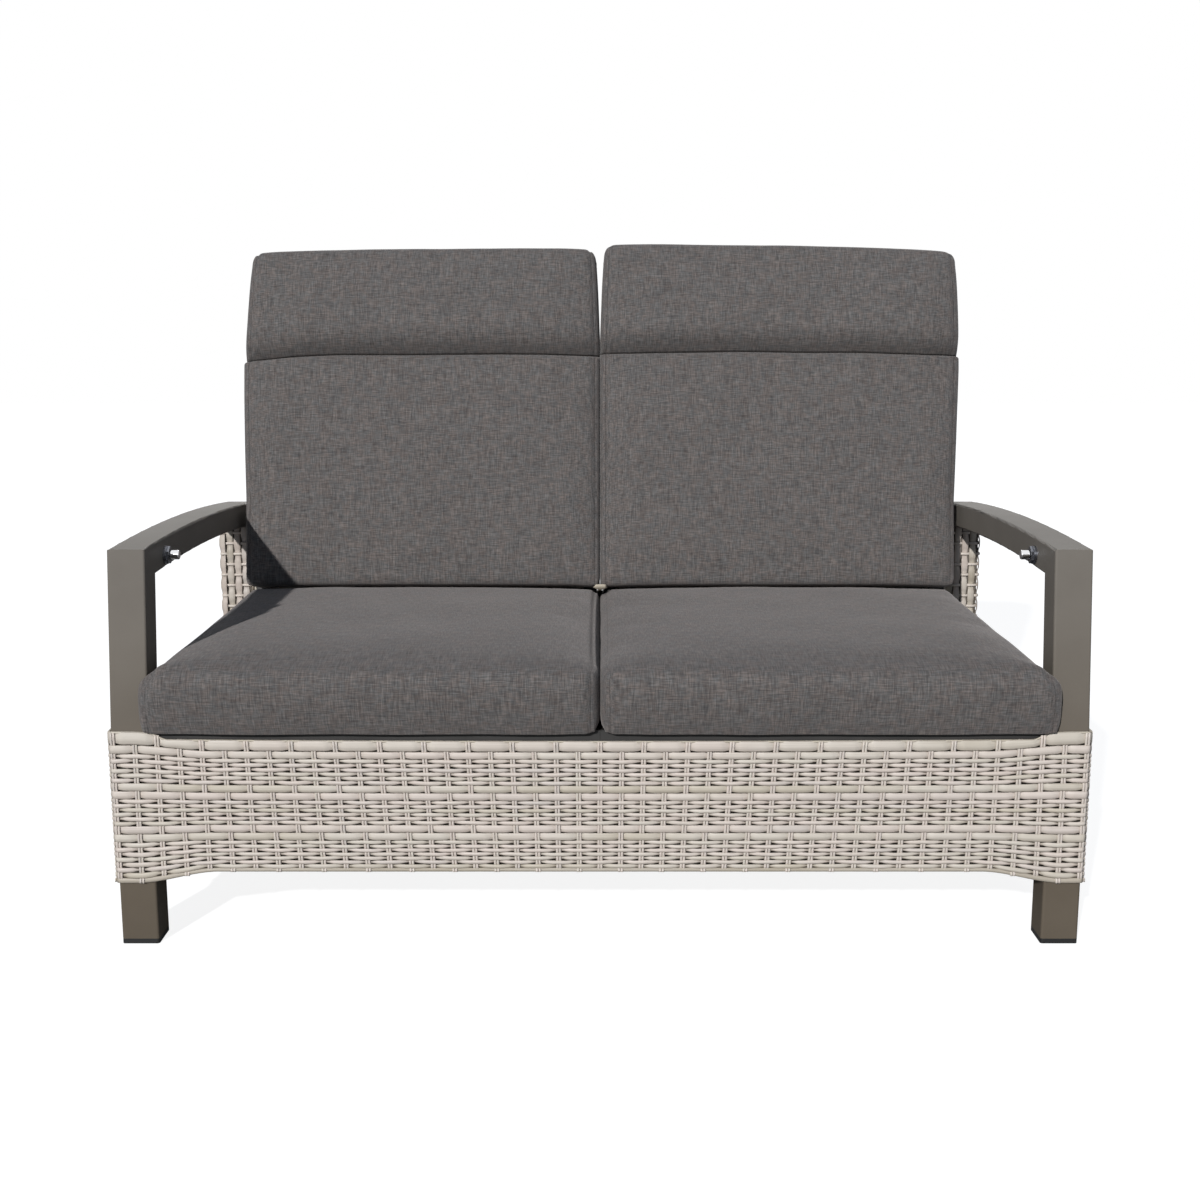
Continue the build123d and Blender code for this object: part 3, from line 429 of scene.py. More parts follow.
def skirt_height(share, place, flat_from):
    """Height of the row line at a share of the panel's depth, for each place along the panel.

    Between the legs the lines are shares of the way down from the top edge, which dips slightly to the
    middle. Towards a leg they shift by leg_shift along a smooth step over skirt_ramp that ends skirt_early
    behind the leg's inner edge, so that the foot comes down, and the top edge steps up over skirt_shoulder.
    """
    inside = flat_from - np.abs(place)
    bow = skirt_dip * np.clip(1 - (place / flat_from) ** 2, 0, 1)
    high = skirt_high - skirt_step
    low = skirt_low - leg_shift[-1]
    level = high - bow * (1 - share) - share * (high - low)
    near_leg = 1 - ease((inside + skirt_early) / skirt_ramp)
    level = level + near_leg * np.interp(share, leg_shift_shares, leg_shift)
    edge = skirt_high - skirt_step * ease(inside / skirt_shoulder) - bow
    return np.minimum(level, edge)


def corner_path(run, half, radius):
    """Place along a panel, distance in from its face and outward direction, round a corner of that radius."""
    beyond = np.clip(np.abs(run) - (half - radius), 0, None) / radius
    side = np.sign(run)
    along = np.where(beyond > 0, side * (half - radius + radius * np.sin(beyond)), run)
    back = radius * (1 - np.cos(beyond))
    return along, back, side * np.sin(beyond), np.cos(beyond)


def weave_skirt(side, seed, half, middle, a, o, stakes, lean, offset):
    """A panel of rows over and under paired stakes, its strands bent round the corners.

    a points along the panel and o out of it. A row is over the stakes where its dive() is 1 and under them
    where it is -1; the phase counts stakes and rows, so neighbouring rows pass a stake on opposite sides.
    A strand is squeezed where it is under and painted darker there as shade; its side edges and underside
    get painted shade too. The stakes lean to the middle by lean metres a metre down.
    """
    rng = np.random.default_rng(seed)
    flat_from, half = half - leg_side, half + weave_middle
    end = half - skirt_corner + skirt_corner * pi / 4
    steps = int(round(2 * end / stake_pitch * 8)) + 1
    run = np.linspace(-end, end, steps)
    place, back, turn, facing = corner_path(run, half, skirt_corner)
    normal = facing[:, None] * o + turn[:, None] * a

    def lean_at(at):
        """Sideways lean of the stakes per metre of drop, towards the middle, none at the corners."""
        return -lean * np.sin(np.clip(at / flat_from, -1, 1) * pi)

    bounds = skirt_height(row_shares[:, None], place, flat_from)
    height, half_row = (bounds[1:] + bounds[:-1]) / 2, (bounds[:-1] - bounds[1:]) / 2
    rows = len(height)
    marks = np.concatenate([[-end - 1e-6], stakes, [end + 1e-6]])
    count = np.concatenate([[-0.5], np.arange(len(stakes)), [len(stakes) - 0.5]])
    phase = np.interp(run - lean_at(place) * (skirt_high - height), marks, count) + offset
    pick = narrow[:, None]
    wave = dive(phase + 1 + np.arange(rows)[:, None], np.where(pick, *row_sharp),
                np.where(pick, *row_float_share))
    squeeze = np.clip((-wave - 0.3) / 0.7, 0, 1)
    wide = half_row * (np.where(pick, *row_fill_share) - np.where(pick, *row_squeeze_share) * squeeze)
    height = height + np.where(pick, *row_waver) * (soft_noise(rng, (rows, steps), 5) - 0.5) * 2
    centre = (middle + place[:, None] * a + (weave_middle - back)[:, None] * o
              + (np.where(pick, *row_swing) * wave)[..., None] * normal + height[..., None] * up)
    shade = 0.55 * rng.random((rows, 1)) + 0.45 * soft_noise(rng, (rows, steps), 31)
    thick = np.where(pick, *row_half_thick) * (1 + 0.12 * wave)
    # The rows get painted shade where they dive, along their side edges and on their undersides.
    woven = strands(f"skirt_{side}", "base", centre, up, normal, wide, thick, shade,
                    square=np.where(narrow, *row_square), painted_shade=np.where(pick, *row_shadow) * squeeze ** 3,
                    under=0.60, edge=0.25)
    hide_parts(f"wicker_skirt_{side}")

    levels = np.sort(np.concatenate([row_middle_shares, row_shares[1:-1], stake_end_shares]))
    number = np.tile(np.arange(len(stakes)), 2)[:, None]
    at = np.tile(stakes, 2)[:, None]
    stake_height = skirt_height(levels, at, flat_from)
    beside = np.repeat((-stake_half_gap, stake_half_gap), len(stakes))[:, None]
    at = at + lean_at(at) * (skirt_high - stake_height) + beside
    row_at = np.interp(levels, row_middle_shares, np.arange(rows))
    swing = stake_out + stake_swing * np.cos(pi * (row_at + number + offset))
    turned_in = np.where((number + offset) % 2 == 1, *stake_foot_out)
    out = np.where(levels > turned_in_share, turned_in, swing)
    along, behind = corner_path(at, half, skirt_corner)[:2]
    centre = (middle + along[..., None] * a + (weave_middle + out - behind)[..., None] * o
              + stake_height[..., None] * up)
    shade = 0.25 + 0.5 * rng.random((len(at), 1)) + 0.2 * soft_noise(rng, at.shape, 9)
    # The stakes get a light painted shade along their side edges.
    strands(f"skirt_{side}_stakes", "base", centre, a, o, stake_half_wide, stake_half_thick, shade, around=6,
            square=0.9, edge=0.2)

    foot = skirt_height(1, place, flat_from)
    rim_height = np.stack([bounds[0] - 0.0016, (bounds[-1] + foot) / 2 + 0.0003])
    rim_wide = np.stack([0.0017 + 0 * foot, (bounds[-1] - foot) / 2 + 0.0006])
    rim = (middle + place[:, None] * a + (weave_middle - 0.0004 - back)[:, None] * o
           + rim_height[..., None] * up)
    # The foot rim is painted darker than the top rim: painted shade under the panel's foot.
    strands(f"skirt_{side}_rims", "base", rim, up, normal, rim_wide, np.array([[0.0018], [0.0022]]),
            0.25 * soft_noise(rng, rim.shape[:2], 40), square=0.9, painted_shade=np.array([[0.0], [0.30]]))

    # The dark sheet: painted shade inside the base, seen through the gaps.
    sheet = (middle + place[:, None] * a - (back + 0.0001)[:, None] * o
             + ((bounds[0] + foot) / 2)[None, :, None] * up)
    strands(f"skirt_{side}_liner", "base", sheet, up, normal, (bounds[0] - foot) / 2 - 0.002, 0.00015, 0.0,
            shade_sheet, square=0.15)


half_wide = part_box("front_leg_right")[1][0]
leg_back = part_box("rear_leg_left")[1][1]
base_middle = (leg_front + leg_back) / 2
half_deep = (leg_back - leg_front) / 2
leg_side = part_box("front_leg_left")[1][0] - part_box("front_leg_left")[0][0]
front_stakes = (np.arange(45) - 22) * 0.03393
side_stakes = (np.arange(25) - 12) * (2 * half_deep - 0.007) / 24
weave_skirt("front", 11, half_wide, (0, leg_front, 0), rightward, -backward, front_stakes, skirt_lean, 0)
weave_skirt("rear", 12, half_wide, (0, leg_back, 0), -rightward, backward, front_stakes, skirt_lean, 0)
weave_skirt("left", 13, half_deep, (-half_wide, base_middle, 0), -backward, -rightward, side_stakes, 0, 1)
weave_skirt("right", 14, half_deep, (half_wide, base_middle, 0), backward, rightward, side_stakes, 0, 1)


# Woven sleeves on the rear posts: flat strands run up the post and dive under light ties that are
# wound round it every 21 mm. They end under the arm and in the skirt. The strands carry painted shade in
# soft random patches and along their side edges, the ties on their undersides.
tie_pitch, tie_half_high, tie_half_thick, tie_sunk, tie_swing = 0.021, 0.0028, 0.0015, 0.0003, 0.0014
wrap_strands = 16
wrap_corner, wrap_inset, wrap_half_thick, wrap_swing = 0.006, 0.0012, 0.0009, 0.0011
wrap_tuck, tie_margin, arm_rise = 0.004, 0.006, 0.004


def ring_path(run, half, radius):
    """Points and outward directions round an upright square post with rounded corners, as x, y, z with z 0.

    run goes round from 0 to 1. Each quarter is a straight side of half - radius each way and then a
    quarter turn of that radius.
    """
    straight, turn = 2 * (half - radius), radius * pi / 2
    part = (run % 1) * 4
    quarter = np.floor(part)
    along = (part - quarter) * (straight + turn)
    bend = np.clip(along - straight, 0, turn) / radius
    x = np.minimum(along, straight) - straight / 2 + radius * np.sin(bend)
    out = half - radius + radius * np.cos(bend)
    cos, sin = np.cos(quarter * pi / 2), np.sin(quarter * pi / 2)
    normal_x, normal_y = np.sin(bend), np.cos(bend)
    return (np.stack([x * cos + out * sin, out * cos - x * sin, 0 * run], -1),
            np.stack([normal_x * cos + normal_y * sin, normal_y * cos - normal_x * sin, 0 * run], -1))


def weave_post(side, seed):
    """Sleeve of upright strands that dive under level ties; every other strand at each tie."""
    rng = np.random.default_rng(seed)
    low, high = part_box(f"post_wrap_{side}")
    middle = np.array([(low[0] + high[0]) / 2, (low[1] + high[1]) / 2, 0])
    half = (high[1] - low[1]) / 2 - wrap_inset
    foot, top = low[2] - wrap_tuck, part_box(f"arm_rail_{side}")[0][2]
    number = (np.arange(wrap_strands) + 0.5) / wrap_strands
    at, normal = ring_path(number, half, wrap_corner)
    rear = np.clip((high[1] - (middle[1] + at[:, 1])) / (high[1] - low[1]), 0, 1)
    height = foot + (top + arm_rise * rear - foot)[:, None] * np.linspace(0, 1, 120)
    wave = dive(height / tie_pitch + np.arange(wrap_strands)[:, None])
    out = normal[:, None]
    centre = (middle + at)[:, None] + out * (wrap_swing * wave)[..., None] + height[..., None] * up
    half_strand = (8 * (half - wrap_corner) + 2 * pi * wrap_corner) / wrap_strands / 2
    shade = 0.6 * rng.random((wrap_strands, 1)) + 0.4 * soft_noise(rng, wave.shape, 15)
    # Painted shade in soft random patches and along the side edges.
    sleeve = strands(f"post_sleeve_{side}", "base", centre, np.cross(up, out), out,
                     half_strand * (0.86 + 0.07 * wave), wrap_half_thick, shade, square=0.6,
                     painted_shade=0.12 + 0.30 * soft_noise(rng, wave.shape, 7))
    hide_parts(f"post_wrap_{side}")

    ties = np.arange(np.ceil((low[2] + tie_margin) / tie_pitch), np.floor((top - wrap_tuck) / tie_pitch) + 1)
    ties = ties[:, None]
    run = np.linspace(0, 1, 241)
    at, normal = ring_path(run, half, wrap_corner)
    wave = dive(ties + run * wrap_strands - 0.5)
    centre = (middle + at + normal * (tie_sunk - tie_swing * wave)[..., None]
              + (ties * tie_pitch)[..., None] * up)
    # The ties get painted shade on their undersides.
    strands(f"post_ties_{side}", "base", centre, up, normal, tie_half_high, tie_half_thick,
            0.4 + 0.2 * rng.random(ties.shape), around=6, square=0.8, under=0.5, edge=0.1)


weave_post("left", 21)
weave_post("right", 22)


# Woven backs: a panel of level strands over the rear of each hoop, and a band of strands round its
# outer side and top, both over paired stakes, as the skirt is. A strand along the inner edge closes the
# gap between the two.
hinge = np.array([j["pos_m"] for j in frame["joints"] if j["name"] == "back_recline_left"][0])
recline = radians(12)
hoop_deep = 0.015
back_low, back_high, back_edge, back_corner = 0.005, 0.680, 0.6775, 0.060
back_inner, closing_edge = 0.0065, 0.0003
back_rows, band_rows = 72, 5
back_half_thick, back_swing = 0.0010, 0.0014
back_rim_half, back_rim_half_thick, back_rim_out = 0.0022, 0.0020, 0.0024
back_stake_half, back_stake_half_thick, back_stake_half_gap = 0.0022, 0.0008, 0.0025
front_rim_sunk, rear_rim_out, edge_rim_out, inner_rim_in, foot_rim_up = 0.0006, 0.0038, 0.0016, 0.0018, 0.0015
row_margins, band_margins, stake_margin, stake_top_margin = (0.005, 0.003), (0.003, 0.0015), 0.003, 0.002
strand_margin = 0.001
closing_low, closing_high = 0.045, 0.545


def laid_back(points):
    """From the upright back's own x, y, z about the hinge line to the back's place on the seat.

    y = hinge_y + y' cos 12 + z' sin 12, z = hinge_z - y' sin 12 + z' cos 12.
    """
    return turned_back(points) + hinge * (0, 1, 1)


def turned_back(directions):
    """A direction in the upright back turned by the recline."""
    x, y, z = np.moveaxis(directions, -1, 0)
    cos, sin = np.cos(recline), np.sin(recline)
    return np.stack([x, y * cos + z * sin, z * cos - y * sin], -1)


def weave_back(side, sign, seed):
    """Rear panel, uprights, edge band and rims of one woven back, and the strand that closes the middle gap.

    The rows and the band dive as the skirt's do. The hoop's outer corner is a quarter circle.
    """
    rng = np.random.default_rng(seed)

    # All the back's strands get the default painted shade along their side edges.
    def weave(name, lines, across, outward, half_wide, half_thick, tint):
        """Strands of the upright back, laid back with it."""
        return strands(f"back_weave_{side}_{name}", f"back_{side}", laid_back(lines), turned_back(across),
                       turned_back(outward), half_wide, half_thick, tint, around=6)

    height = np.linspace(back_low + row_margins[0], back_high - row_margins[1], back_rows)
    over_corner = np.clip(height - (back_high - back_corner), 0, None)
    reach = back_edge - back_corner + np.sqrt(np.clip(back_corner ** 2 - over_corner ** 2, 1e-8, None))
    start = back_inner + strand_margin
    place = start + (reach - start)[:, None] * np.linspace(0, 1, 150)
    wave = dive(place / stake_pitch + np.arange(back_rows)[:, None])
    centre = np.stack(np.broadcast_arrays(sign * place, hoop_deep + weave_middle + back_swing * wave,
                                          height[:, None]), -1)
    half_row = (height[1] - height[0]) / 2
    panel = weave("panel", centre, up, backward, half_row * (0.98 + 0.12 * wave), back_half_thick,
                  0.6 * rng.random((back_rows, 1)) + 0.4 * soft_noise(rng, wave.shape, 25))
    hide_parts(f"back_weave_{side}")

    at = np.arange(1, int(back_edge / stake_pitch) + 1) * stake_pitch
    at = np.concatenate([at - back_stake_half_gap, at + back_stake_half_gap])
    at = at[(at > back_inner + stake_margin) & (at < back_edge - stake_margin)]
    over = np.clip(at - (back_edge - back_corner), 0, None)
    top = back_high - back_corner + np.sqrt(back_corner ** 2 - over ** 2) - stake_top_margin
    levels = back_low + (top - back_low)[:, None] * np.linspace(0, 1, 60)
    centre = np.stack(np.broadcast_arrays(sign * at[:, None], hoop_deep + weave_middle, levels), -1)
    weave("stakes", centre, rightward, backward, back_stake_half, back_stake_half_thick,
          0.2 + 0.5 * rng.random((len(at), 1)))

    side_run = back_high - back_corner - back_low
    arc_run = back_corner * pi / 2
    run = np.linspace(0, side_run + arc_run + back_edge - back_corner - back_inner, 240)
    turn = np.clip(run - side_run, 0, arc_run) / back_corner
    x = back_edge - back_corner + back_corner * np.cos(turn) - np.clip(run - side_run - arc_run, 0, None)
    z = back_low + np.minimum(run, side_run) + back_corner * np.sin(turn)
    normal = np.stack([sign * np.cos(turn), 0 * turn, np.sin(turn)], -1)
    line = np.stack([sign * x, 0 * x, z], -1)
    band_deep = np.linspace(-hoop_deep + band_margins[0], hoop_deep + band_margins[1], band_rows)
    wave = dive(run / stake_pitch + np.arange(band_rows)[:, None])
    half_row = (band_deep[1] - band_deep[0]) / 2
    centre = (line + normal * (back_rim_out + back_swing * wave)[..., None]
              + band_deep[:, None, None] * backward)
    weave("band", centre, backward, normal, half_row * (0.96 + 0.1 * wave), back_half_thick,
          0.6 * rng.random((band_rows, 1)) + 0.4 * soft_noise(rng, wave.shape, 25))

    edge = line + normal * edge_rim_out
    behind = hoop_deep + back_rim_out
    inner, closing = sign * (back_inner + inner_rim_in), sign * (back_inner + closing_edge) / 2
    foot = back_low + foot_rim_up
    straight = [np.linspace(first, last, len(run)) for first, last in (
        ((inner, behind, back_low), (inner, behind, back_high + strand_margin)),
        ((sign * start, behind, foot), (sign * (back_edge + strand_margin), behind, foot)),
        ((closing, behind, closing_low), (closing, behind, closing_high)))]
    lines = np.stack([edge + (front_rim_sunk - hoop_deep) * backward,
                      edge + (hoop_deep + rear_rim_out) * backward, *straight])
    weave("rims", lines, np.stack([backward, backward, rightward, up, rightward])[:, None],
          np.stack([normal, normal, *[0 * normal + backward] * 3]),
          np.array([back_rim_half] * 4 + [(back_inner - closing_edge) / 2])[:, None], back_rim_half_thick,
          0.3 * rng.random((5, 1)))


weave_back("left", -1, 31)
weave_back("right", 1, 32)


# Centre strap: three strands nailed to the middle hinge bracket, which close the gap between the backs
# at their foot. The tail of a fourth runs forward under the back cushions and shows where the four meet.
strap_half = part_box("back_frame_right")[0][0] - 0.0004
strap_low, strap_high, strap_half_thick = 0.012, 0.034, 0.0010
strap_line = np.stack(np.broadcast_arrays(np.array([[-2], [0], [2]]) * strap_half / 3, 0.0,
                                          np.linspace(strap_low, strap_high, 8)), -1)
# The strap's strands get the default painted shade along their side edges.
strands("centre_strap", "base", laid_back(strap_line), rightward, turned_back(-backward), strap_half / 3,
        strap_half_thick, np.array([[0.3], [0.5], [0.4]]), around=6)

# The tail curls up over its last stretch, by tail_lift t^1.5 for t from 0 to 1 along it, and widens there.
tail_start, tail_end, tail_curl = 0.0025, 0.1270, 0.0120
tail_low, tail_lift, tail_waver = 0.0312, 0.0095, 0.0030
tail_half, tail_widening, tail_half_thick = 0.0030, 0.0110, 0.0009
tail_ahead = -np.linspace(tail_start, tail_end, 26)
tail_rise = np.clip((-tail_ahead - (tail_end - tail_curl)) / tail_curl, 0, 1)
tail_height = tail_low + tail_lift * tail_rise ** 1.5
tail_line = np.stack([tail_waver * np.sin(tail_ahead * 28), tail_ahead, tail_height], -1)[None]
tail_slope = np.gradient(tail_height, tail_ahead)[:, None]
tail_up = (up - tail_slope * backward) / np.sqrt(1 + tail_slope ** 2)
# The tail gets a light painted shade along its side edges.
strands("strap_tail", "base", laid_back(tail_line), rightward, turned_back(tail_up),
        tail_half + tail_widening * np.sin(2.5 * tail_rise), tail_half_thick, 0.0, around=6, edge=0.1)


# Cushion cloth: a dense plain weave of mixed dark grey yarns with slubs and a few blue and brown
# fibres, water-repellent and dull. On the side panels the yarns run along them, so x and y are swapped.
# Along the seams the cloth is darkened: painted shade of the seam creases.
cloth, cloth_shader, paint = finish("grey_melange_cloth", roughness=0.95, Specular_IOR_Level=0.08,
                                    Sheen_Weight=0.21, Sheen_Roughness=0.52, Sheen_Tint=(1.0, 0.93, 0.89, 1))
level = paint.place()
split = paint.node("ShaderNodeSeparateXYZ", {0: level}).socket.node.outputs
swapped = paint.node("ShaderNodeCombineXYZ", {number: Tone(paint.tree, split[axis])
                                              for number, axis in enumerate((1, 0, 2))})
on_side = paint.math("GREATER_THAN", paint.attribute("sideways"), 0.5)
place = paint.node("ShaderNodeMix", {0: on_side, 4: level, 5: swapped}, output=1, data_type="VECTOR")
weft = place.noise(1.0, 2.0, (60.0, 560.0, 560.0))
warp = place.noise(1.0, 2.0, (580.0, 56.0, 56.0))
fleck = place.noise(1.0, 3.0, (140.0, 420.0, 420.0))
patch = place.noise(1.0, 2.0, (70.0, 70.0, 70.0))
woven = weft * 0.5 + warp * 0.5
grey = woven.ramp((0.31, (0.064, 0.058, 0.056)), (0.5, (0.120, 0.110, 0.106)), (0.69, (0.198, 0.180, 0.170)))
hue = fleck.ramp((0.36, (0.78, 0.99, 1.16)), (0.46, (1.0, 1.0, 1.0)), (0.56, (1.0, 1.0, 1.0)),
                 (0.67, (1.28, 0.98, 0.84)))
cast = patch.ramp((0.38, (0.985, 1.02, 1.03)), (0.62, (1.075, 1.03, 1.0)))
# Painted shade: darker along the seams, where the creases are in shade.
seam_shade_share = paint.attribute("seam_shade") * 2.0 - 1.0
faded = grey.tinted(0.17, hue).tinted(1.0, cast)
faded.tinted(seam_shade_share, (0.22, 0.21, 0.21, 1)).feeds(cloth_shader, "Base Color")
woven.roughens(cloth_shader, 0.55, 0.0012)


# Seat cushions: foam slabs in a boxed cover, crowned on top, with a soft front edge that hangs over
# the skirt and swells out in front of the arm posts.
def shell(*grid_lines):
    """Closed cube of four-sided faces: grid lines at the given places in -1..1 along each axis."""
    points, faces, used = [], [], 0
    for axis in range(3):
        first, second = [a for a in range(3) if a != axis]
        for end in (-1, 1):
            sheet = np.empty((len(grid_lines[first]), len(grid_lines[second]), 3))
            sheet[..., axis] = end
            sheet[..., first], sheet[..., second] = np.meshgrid(grid_lines[first], grid_lines[second],
                                                                indexing="ij")
            number = np.arange(sheet.shape[0] * sheet.shape[1]).reshape(sheet.shape[:2]) + used
            used += number.size
            quads = np.stack([number[:-1, :-1], number[1:, :-1], number[1:, 1:], number[:-1, 1:]], -1)
            outward = (end == 1) == (axis != 1)
            points.append(sheet.reshape(-1, 3))
            faces.append((quads if outward else quads[..., ::-1]).reshape(-1, 4))
    merged, owner = np.unique(np.round(np.concatenate(points), 7), axis=0, return_inverse=True)
    return merged, owner.reshape(-1)[np.concatenate(faces)]


def spaced(half, edge, step, extra=()):
    """Places in -1..1: close together within edge of both ends, then about step apart, and the extra."""
    near = half - edge * np.array([0, 0.12, 0.3, 0.55, 0.8, 1.0])
    flat = np.linspace(-near[-1], near[-1], int(round(2 * near[-1] / step)) + 1)
    return np.unique(np.round(np.concatenate([near, -near, flat, extra]) / half, 6))


def rounded(cube, half, radius):
    """Cube points carried to a box with round edges, and the directions outward there.

    Point = clip(p, r - h, h - r) + r * n with n = unit(p - clip(p, r - h, h - r)); r may vary over it.
    """
    at = cube * half
    radius = np.reshape(radius, (-1, 1))
    core = np.clip(at, radius - half, half - radius)
    out = at - core
    out = out / np.linalg.norm(out, axis=1, keepdims=True)
    return core + radius * out, out


def each_way(value):
    """How far a place in -1..1 lies on the positive and on the negative side of the middle, each in 0..1."""
    return np.clip(value, 0, 1), np.clip(-value, 0, 1)


def side_seams(cube):
    """1 on the two seams that join the side panels: the third grid line in from each x face, else 0."""
    line = np.unique(np.abs(cube[:, 0]))[-3]
    return np.isclose(np.abs(cube[:, 0]), line).astype(float)


def ripple(points, seed, length, size):
    """Gentle unevenness: a few sine waves of about that length in seeded directions."""
    rng = np.random.default_rng(seed)
    wave = rng.normal(size=(9, 3)) / length * 2
    start = rng.random(9) * 2 * pi
    return (np.sin(points @ wave.T * 2 + start).sum(1) / 9 * 2) * size


seam_deep = 0.0022
neighbour_gap = 0.00004
cloth_settings = dict(quality=4, mass=0.3, tension_stiffness=12, compression_stiffness=12, shear_stiffness=4,
                      bending_stiffness=0.4, use_pressure=True, uniform_pressure_force=4.5)
cloth_frames, cloth_cap = 20, 0.006


def swell(piece, rest):
    """Cloth under pressure without gravity; each point keeps at most cloth_cap of its move."""
    cover = piece.modifiers.new("cover", "CLOTH")
    for name, value in cloth_settings.items():
        setattr(cover.settings, name, value)
    cover.settings.effector_weights.gravity = 0
    for number in range(1, cloth_frames + 1):
        bpy.context.scene.frame_set(number)
    moved = np.empty(rest.size)
    piece.evaluated_get(bpy.context.evaluated_depsgraph_get()).data.vertices.foreach_get("co", moved)
    piece.modifiers.remove(cover)
    bpy.context.scene.frame_set(1)
    move = moved.reshape(-1, 3) - rest
    length = np.linalg.norm(move, axis=1, keepdims=True)
    return rest + move * np.minimum(1, cloth_cap / np.maximum(length, 1e-9))


def cushion(node, body, points, faces, sunk_in, seam_shade, settle):
    """Sews a cushion: swells it, draws its seams in, keeps it off its neighbours and smooths it once.

    The per-point seam value is 1 in a seam and falls to 0 beside it; it paints the seam creases darker as
    shade. sideways is 1 on the side panels.
    """
    piece = surface(f"{node}_cover", points, faces, cloth)
    carry(piece, "seam_shade", seam_shade)
    points = swell(piece, points)
    piece.data.vertices.foreach_set("co", settle(points - sunk_in).reshape(-1))
    piece.data.update()
    normals = np.empty(points.size)
    piece.data.vertices.foreach_get("normal", normals)
    carry(piece, "sideways", np.abs(normals[::3]) > 0.72)
    smooth = piece.modifiers.new("smooth", "SUBSURF")
    smooth.levels = smooth.render_levels = 1
    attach(piece, body)
    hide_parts(node)


# Sizes, then the edge's radius and its changes, how far the faces swell and sink, and what bounds them.
deck_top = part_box("seat_deck_left")[1][2]
seat_low, seat_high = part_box("seat_cushion_right")
seat_half = np.array([(seat_high[0] - seat_low[0]) / 2 + 0.0025, 0.3600, 0.0490])
seat_middle = np.array([(seat_high[0] + seat_low[0]) / 2 - 0.0020, leg_front + 0.320, deck_top + 0.0500])
seat_edge, sharper_foot, sharper_front, softer_outer, softer_inner = 0.028, 0.015, 0.007, 0.012, 0.005
seat_crown, seat_crown_end, seat_foot_lift = 0.015, 0.002, 0.0065
front_bulge, front_recession, rear_recession = 0.005, 0.017, 0.004
front_swell, side_hollow, inner_swell, inner_front_gap = 0.0160, 0.0015, 0.0055, 0.0062
deck_gap, post_gap, post_clearance, front_overhang, front_end_in = 0.0004, 0.0015, 0.004, 0.047, 0.044
front_droop, droop_from, droop_run = 0.0070, 0.006, 0.01
back_foot_at, back_foot_height, back_foot_slope = 0.590, 0.4615, 0.215
seat_cube, seat_faces = shell(spaced(seat_half[0], 0.030, 0.0105), spaced(seat_half[1], 0.030, 0.0105),
                              spaced(seat_half[2], 0.028, 0.012))


def seat_form(sign, seed):
    """A slab with round edges, then swollen; a, b and c are the place across, back and up in -1..1.

    The edge's radius is seat_edge, less sharper_foot c^2 below and sharper_front on the front's top edge,
    plus softer_outer and softer_inner at the front's outer top and inner lower corners. The top is raised
    by seat_crown (1 - a^4) (1 - b^4) in front and (1 - b^10) behind. The front bulges by front_bulge
    (1 - a^4) and falls back by front_recession ((0.6 - c) / 1.6)^2 to its foot, its outer end swells by
    front_swell. The sides hollow by side_hollow a^6 (1 - b^2); the inner one swells by inner_swell a^6,
    and its front end stays off its neighbour by inner_front_gap a^6.
    """
    a, b, c = seat_cube.T
    (upper, lower), (outer, inner), ahead = each_way(c), each_way(sign * a), each_way(b)[1]
    softer = outer ** 4 * ahead ** 4 * upper
    radius = (seat_edge - sharper_foot * lower ** 2 - sharper_front * upper * ahead ** 4 * (1 - softer)
              + softer_outer * softer + softer_inner * lower ** 2 * inner ** 4 * ahead ** 4)
    p, out = rounded(seat_cube, seat_half, radius)
    a, b, c = (p / seat_half).T
    (upper, lower), (outer, inner), (behind, ahead) = each_way(c), each_way(sign * a), each_way(b)
    front = np.clip((-0.84 - b) / 0.10, 0, 1) ** 2
    crown = seat_crown * (1 - a ** 4) * (1 - ahead ** 4) * (1 - behind ** 10) + seat_crown_end * a ** 2
    p[:, 2] += (crown * upper - seat_foot_lift * lower * np.clip((-0.885 - b) / 0.06, 0, 1)
                + ripple(p + sign, seed, 0.18, 0.0011) * upper)
    fall = (-front_bulge * (1 - a ** 4) * np.clip(1 + c, 0, 1)
            + front_recession * np.clip((0.6 - c) / 1.6, 0, 1) ** 2)
    p[:, 1] += (fall * ahead ** 8 + rear_recession * (1 - a ** 2) * behind ** 8
                + ripple(p - sign, seed + 1, 0.13, 0.0014) * ahead ** 8)
    p[:, 0] += sign * front_swell * front * outer ** 8 * (1 - 0.2 * lower ** 2 - 0.5 * upper ** 2)
    p[:, 0] -= np.sign(a) * np.abs(a) ** 6 * side_hollow * (1 - b ** 2) + sign * inner ** 6 * inner_swell
    p[:, 0] += sign * inner ** 6 * front * (inner_front_gap + 0.0010 * lower)
    return p + seat_middle * (sign, 1, 1), out * (seam_deep * side_seams(seat_cube))[:, None]


def seat_settle(sign):
    """Keeps a seat cushion on the deck, off the arm post, its neighbour and the back cushion."""
    def settle(p):
        """The points moved inside those bounds."""
        ahead = np.clip((leg_front - droop_from - p[:, 1]) / droop_run, 0, 1)
        p[:, 2] = np.maximum(p[:, 2], deck_top + deck_gap - front_droop * ahead)
        past_post = p[:, 1] < leg_front - post_clearance
        beside = np.where(past_post, half_wide - front_end_in, half_wide - leg_side - post_gap)
        p[:, 0] = sign * np.clip(sign * p[:, 0], neighbour_gap, beside)
        p[:, 1] = np.maximum(p[:, 1], leg_front - front_overhang)
        under_back = np.clip(p[:, 1] - (leg_front + back_foot_at), 0, None)
        lowered = np.minimum(p[:, 2], back_foot_height - back_foot_slope * under_back)
        p[:, 2] = np.where(under_back > 0, lowered, p[:, 2])
        return p
    return settle


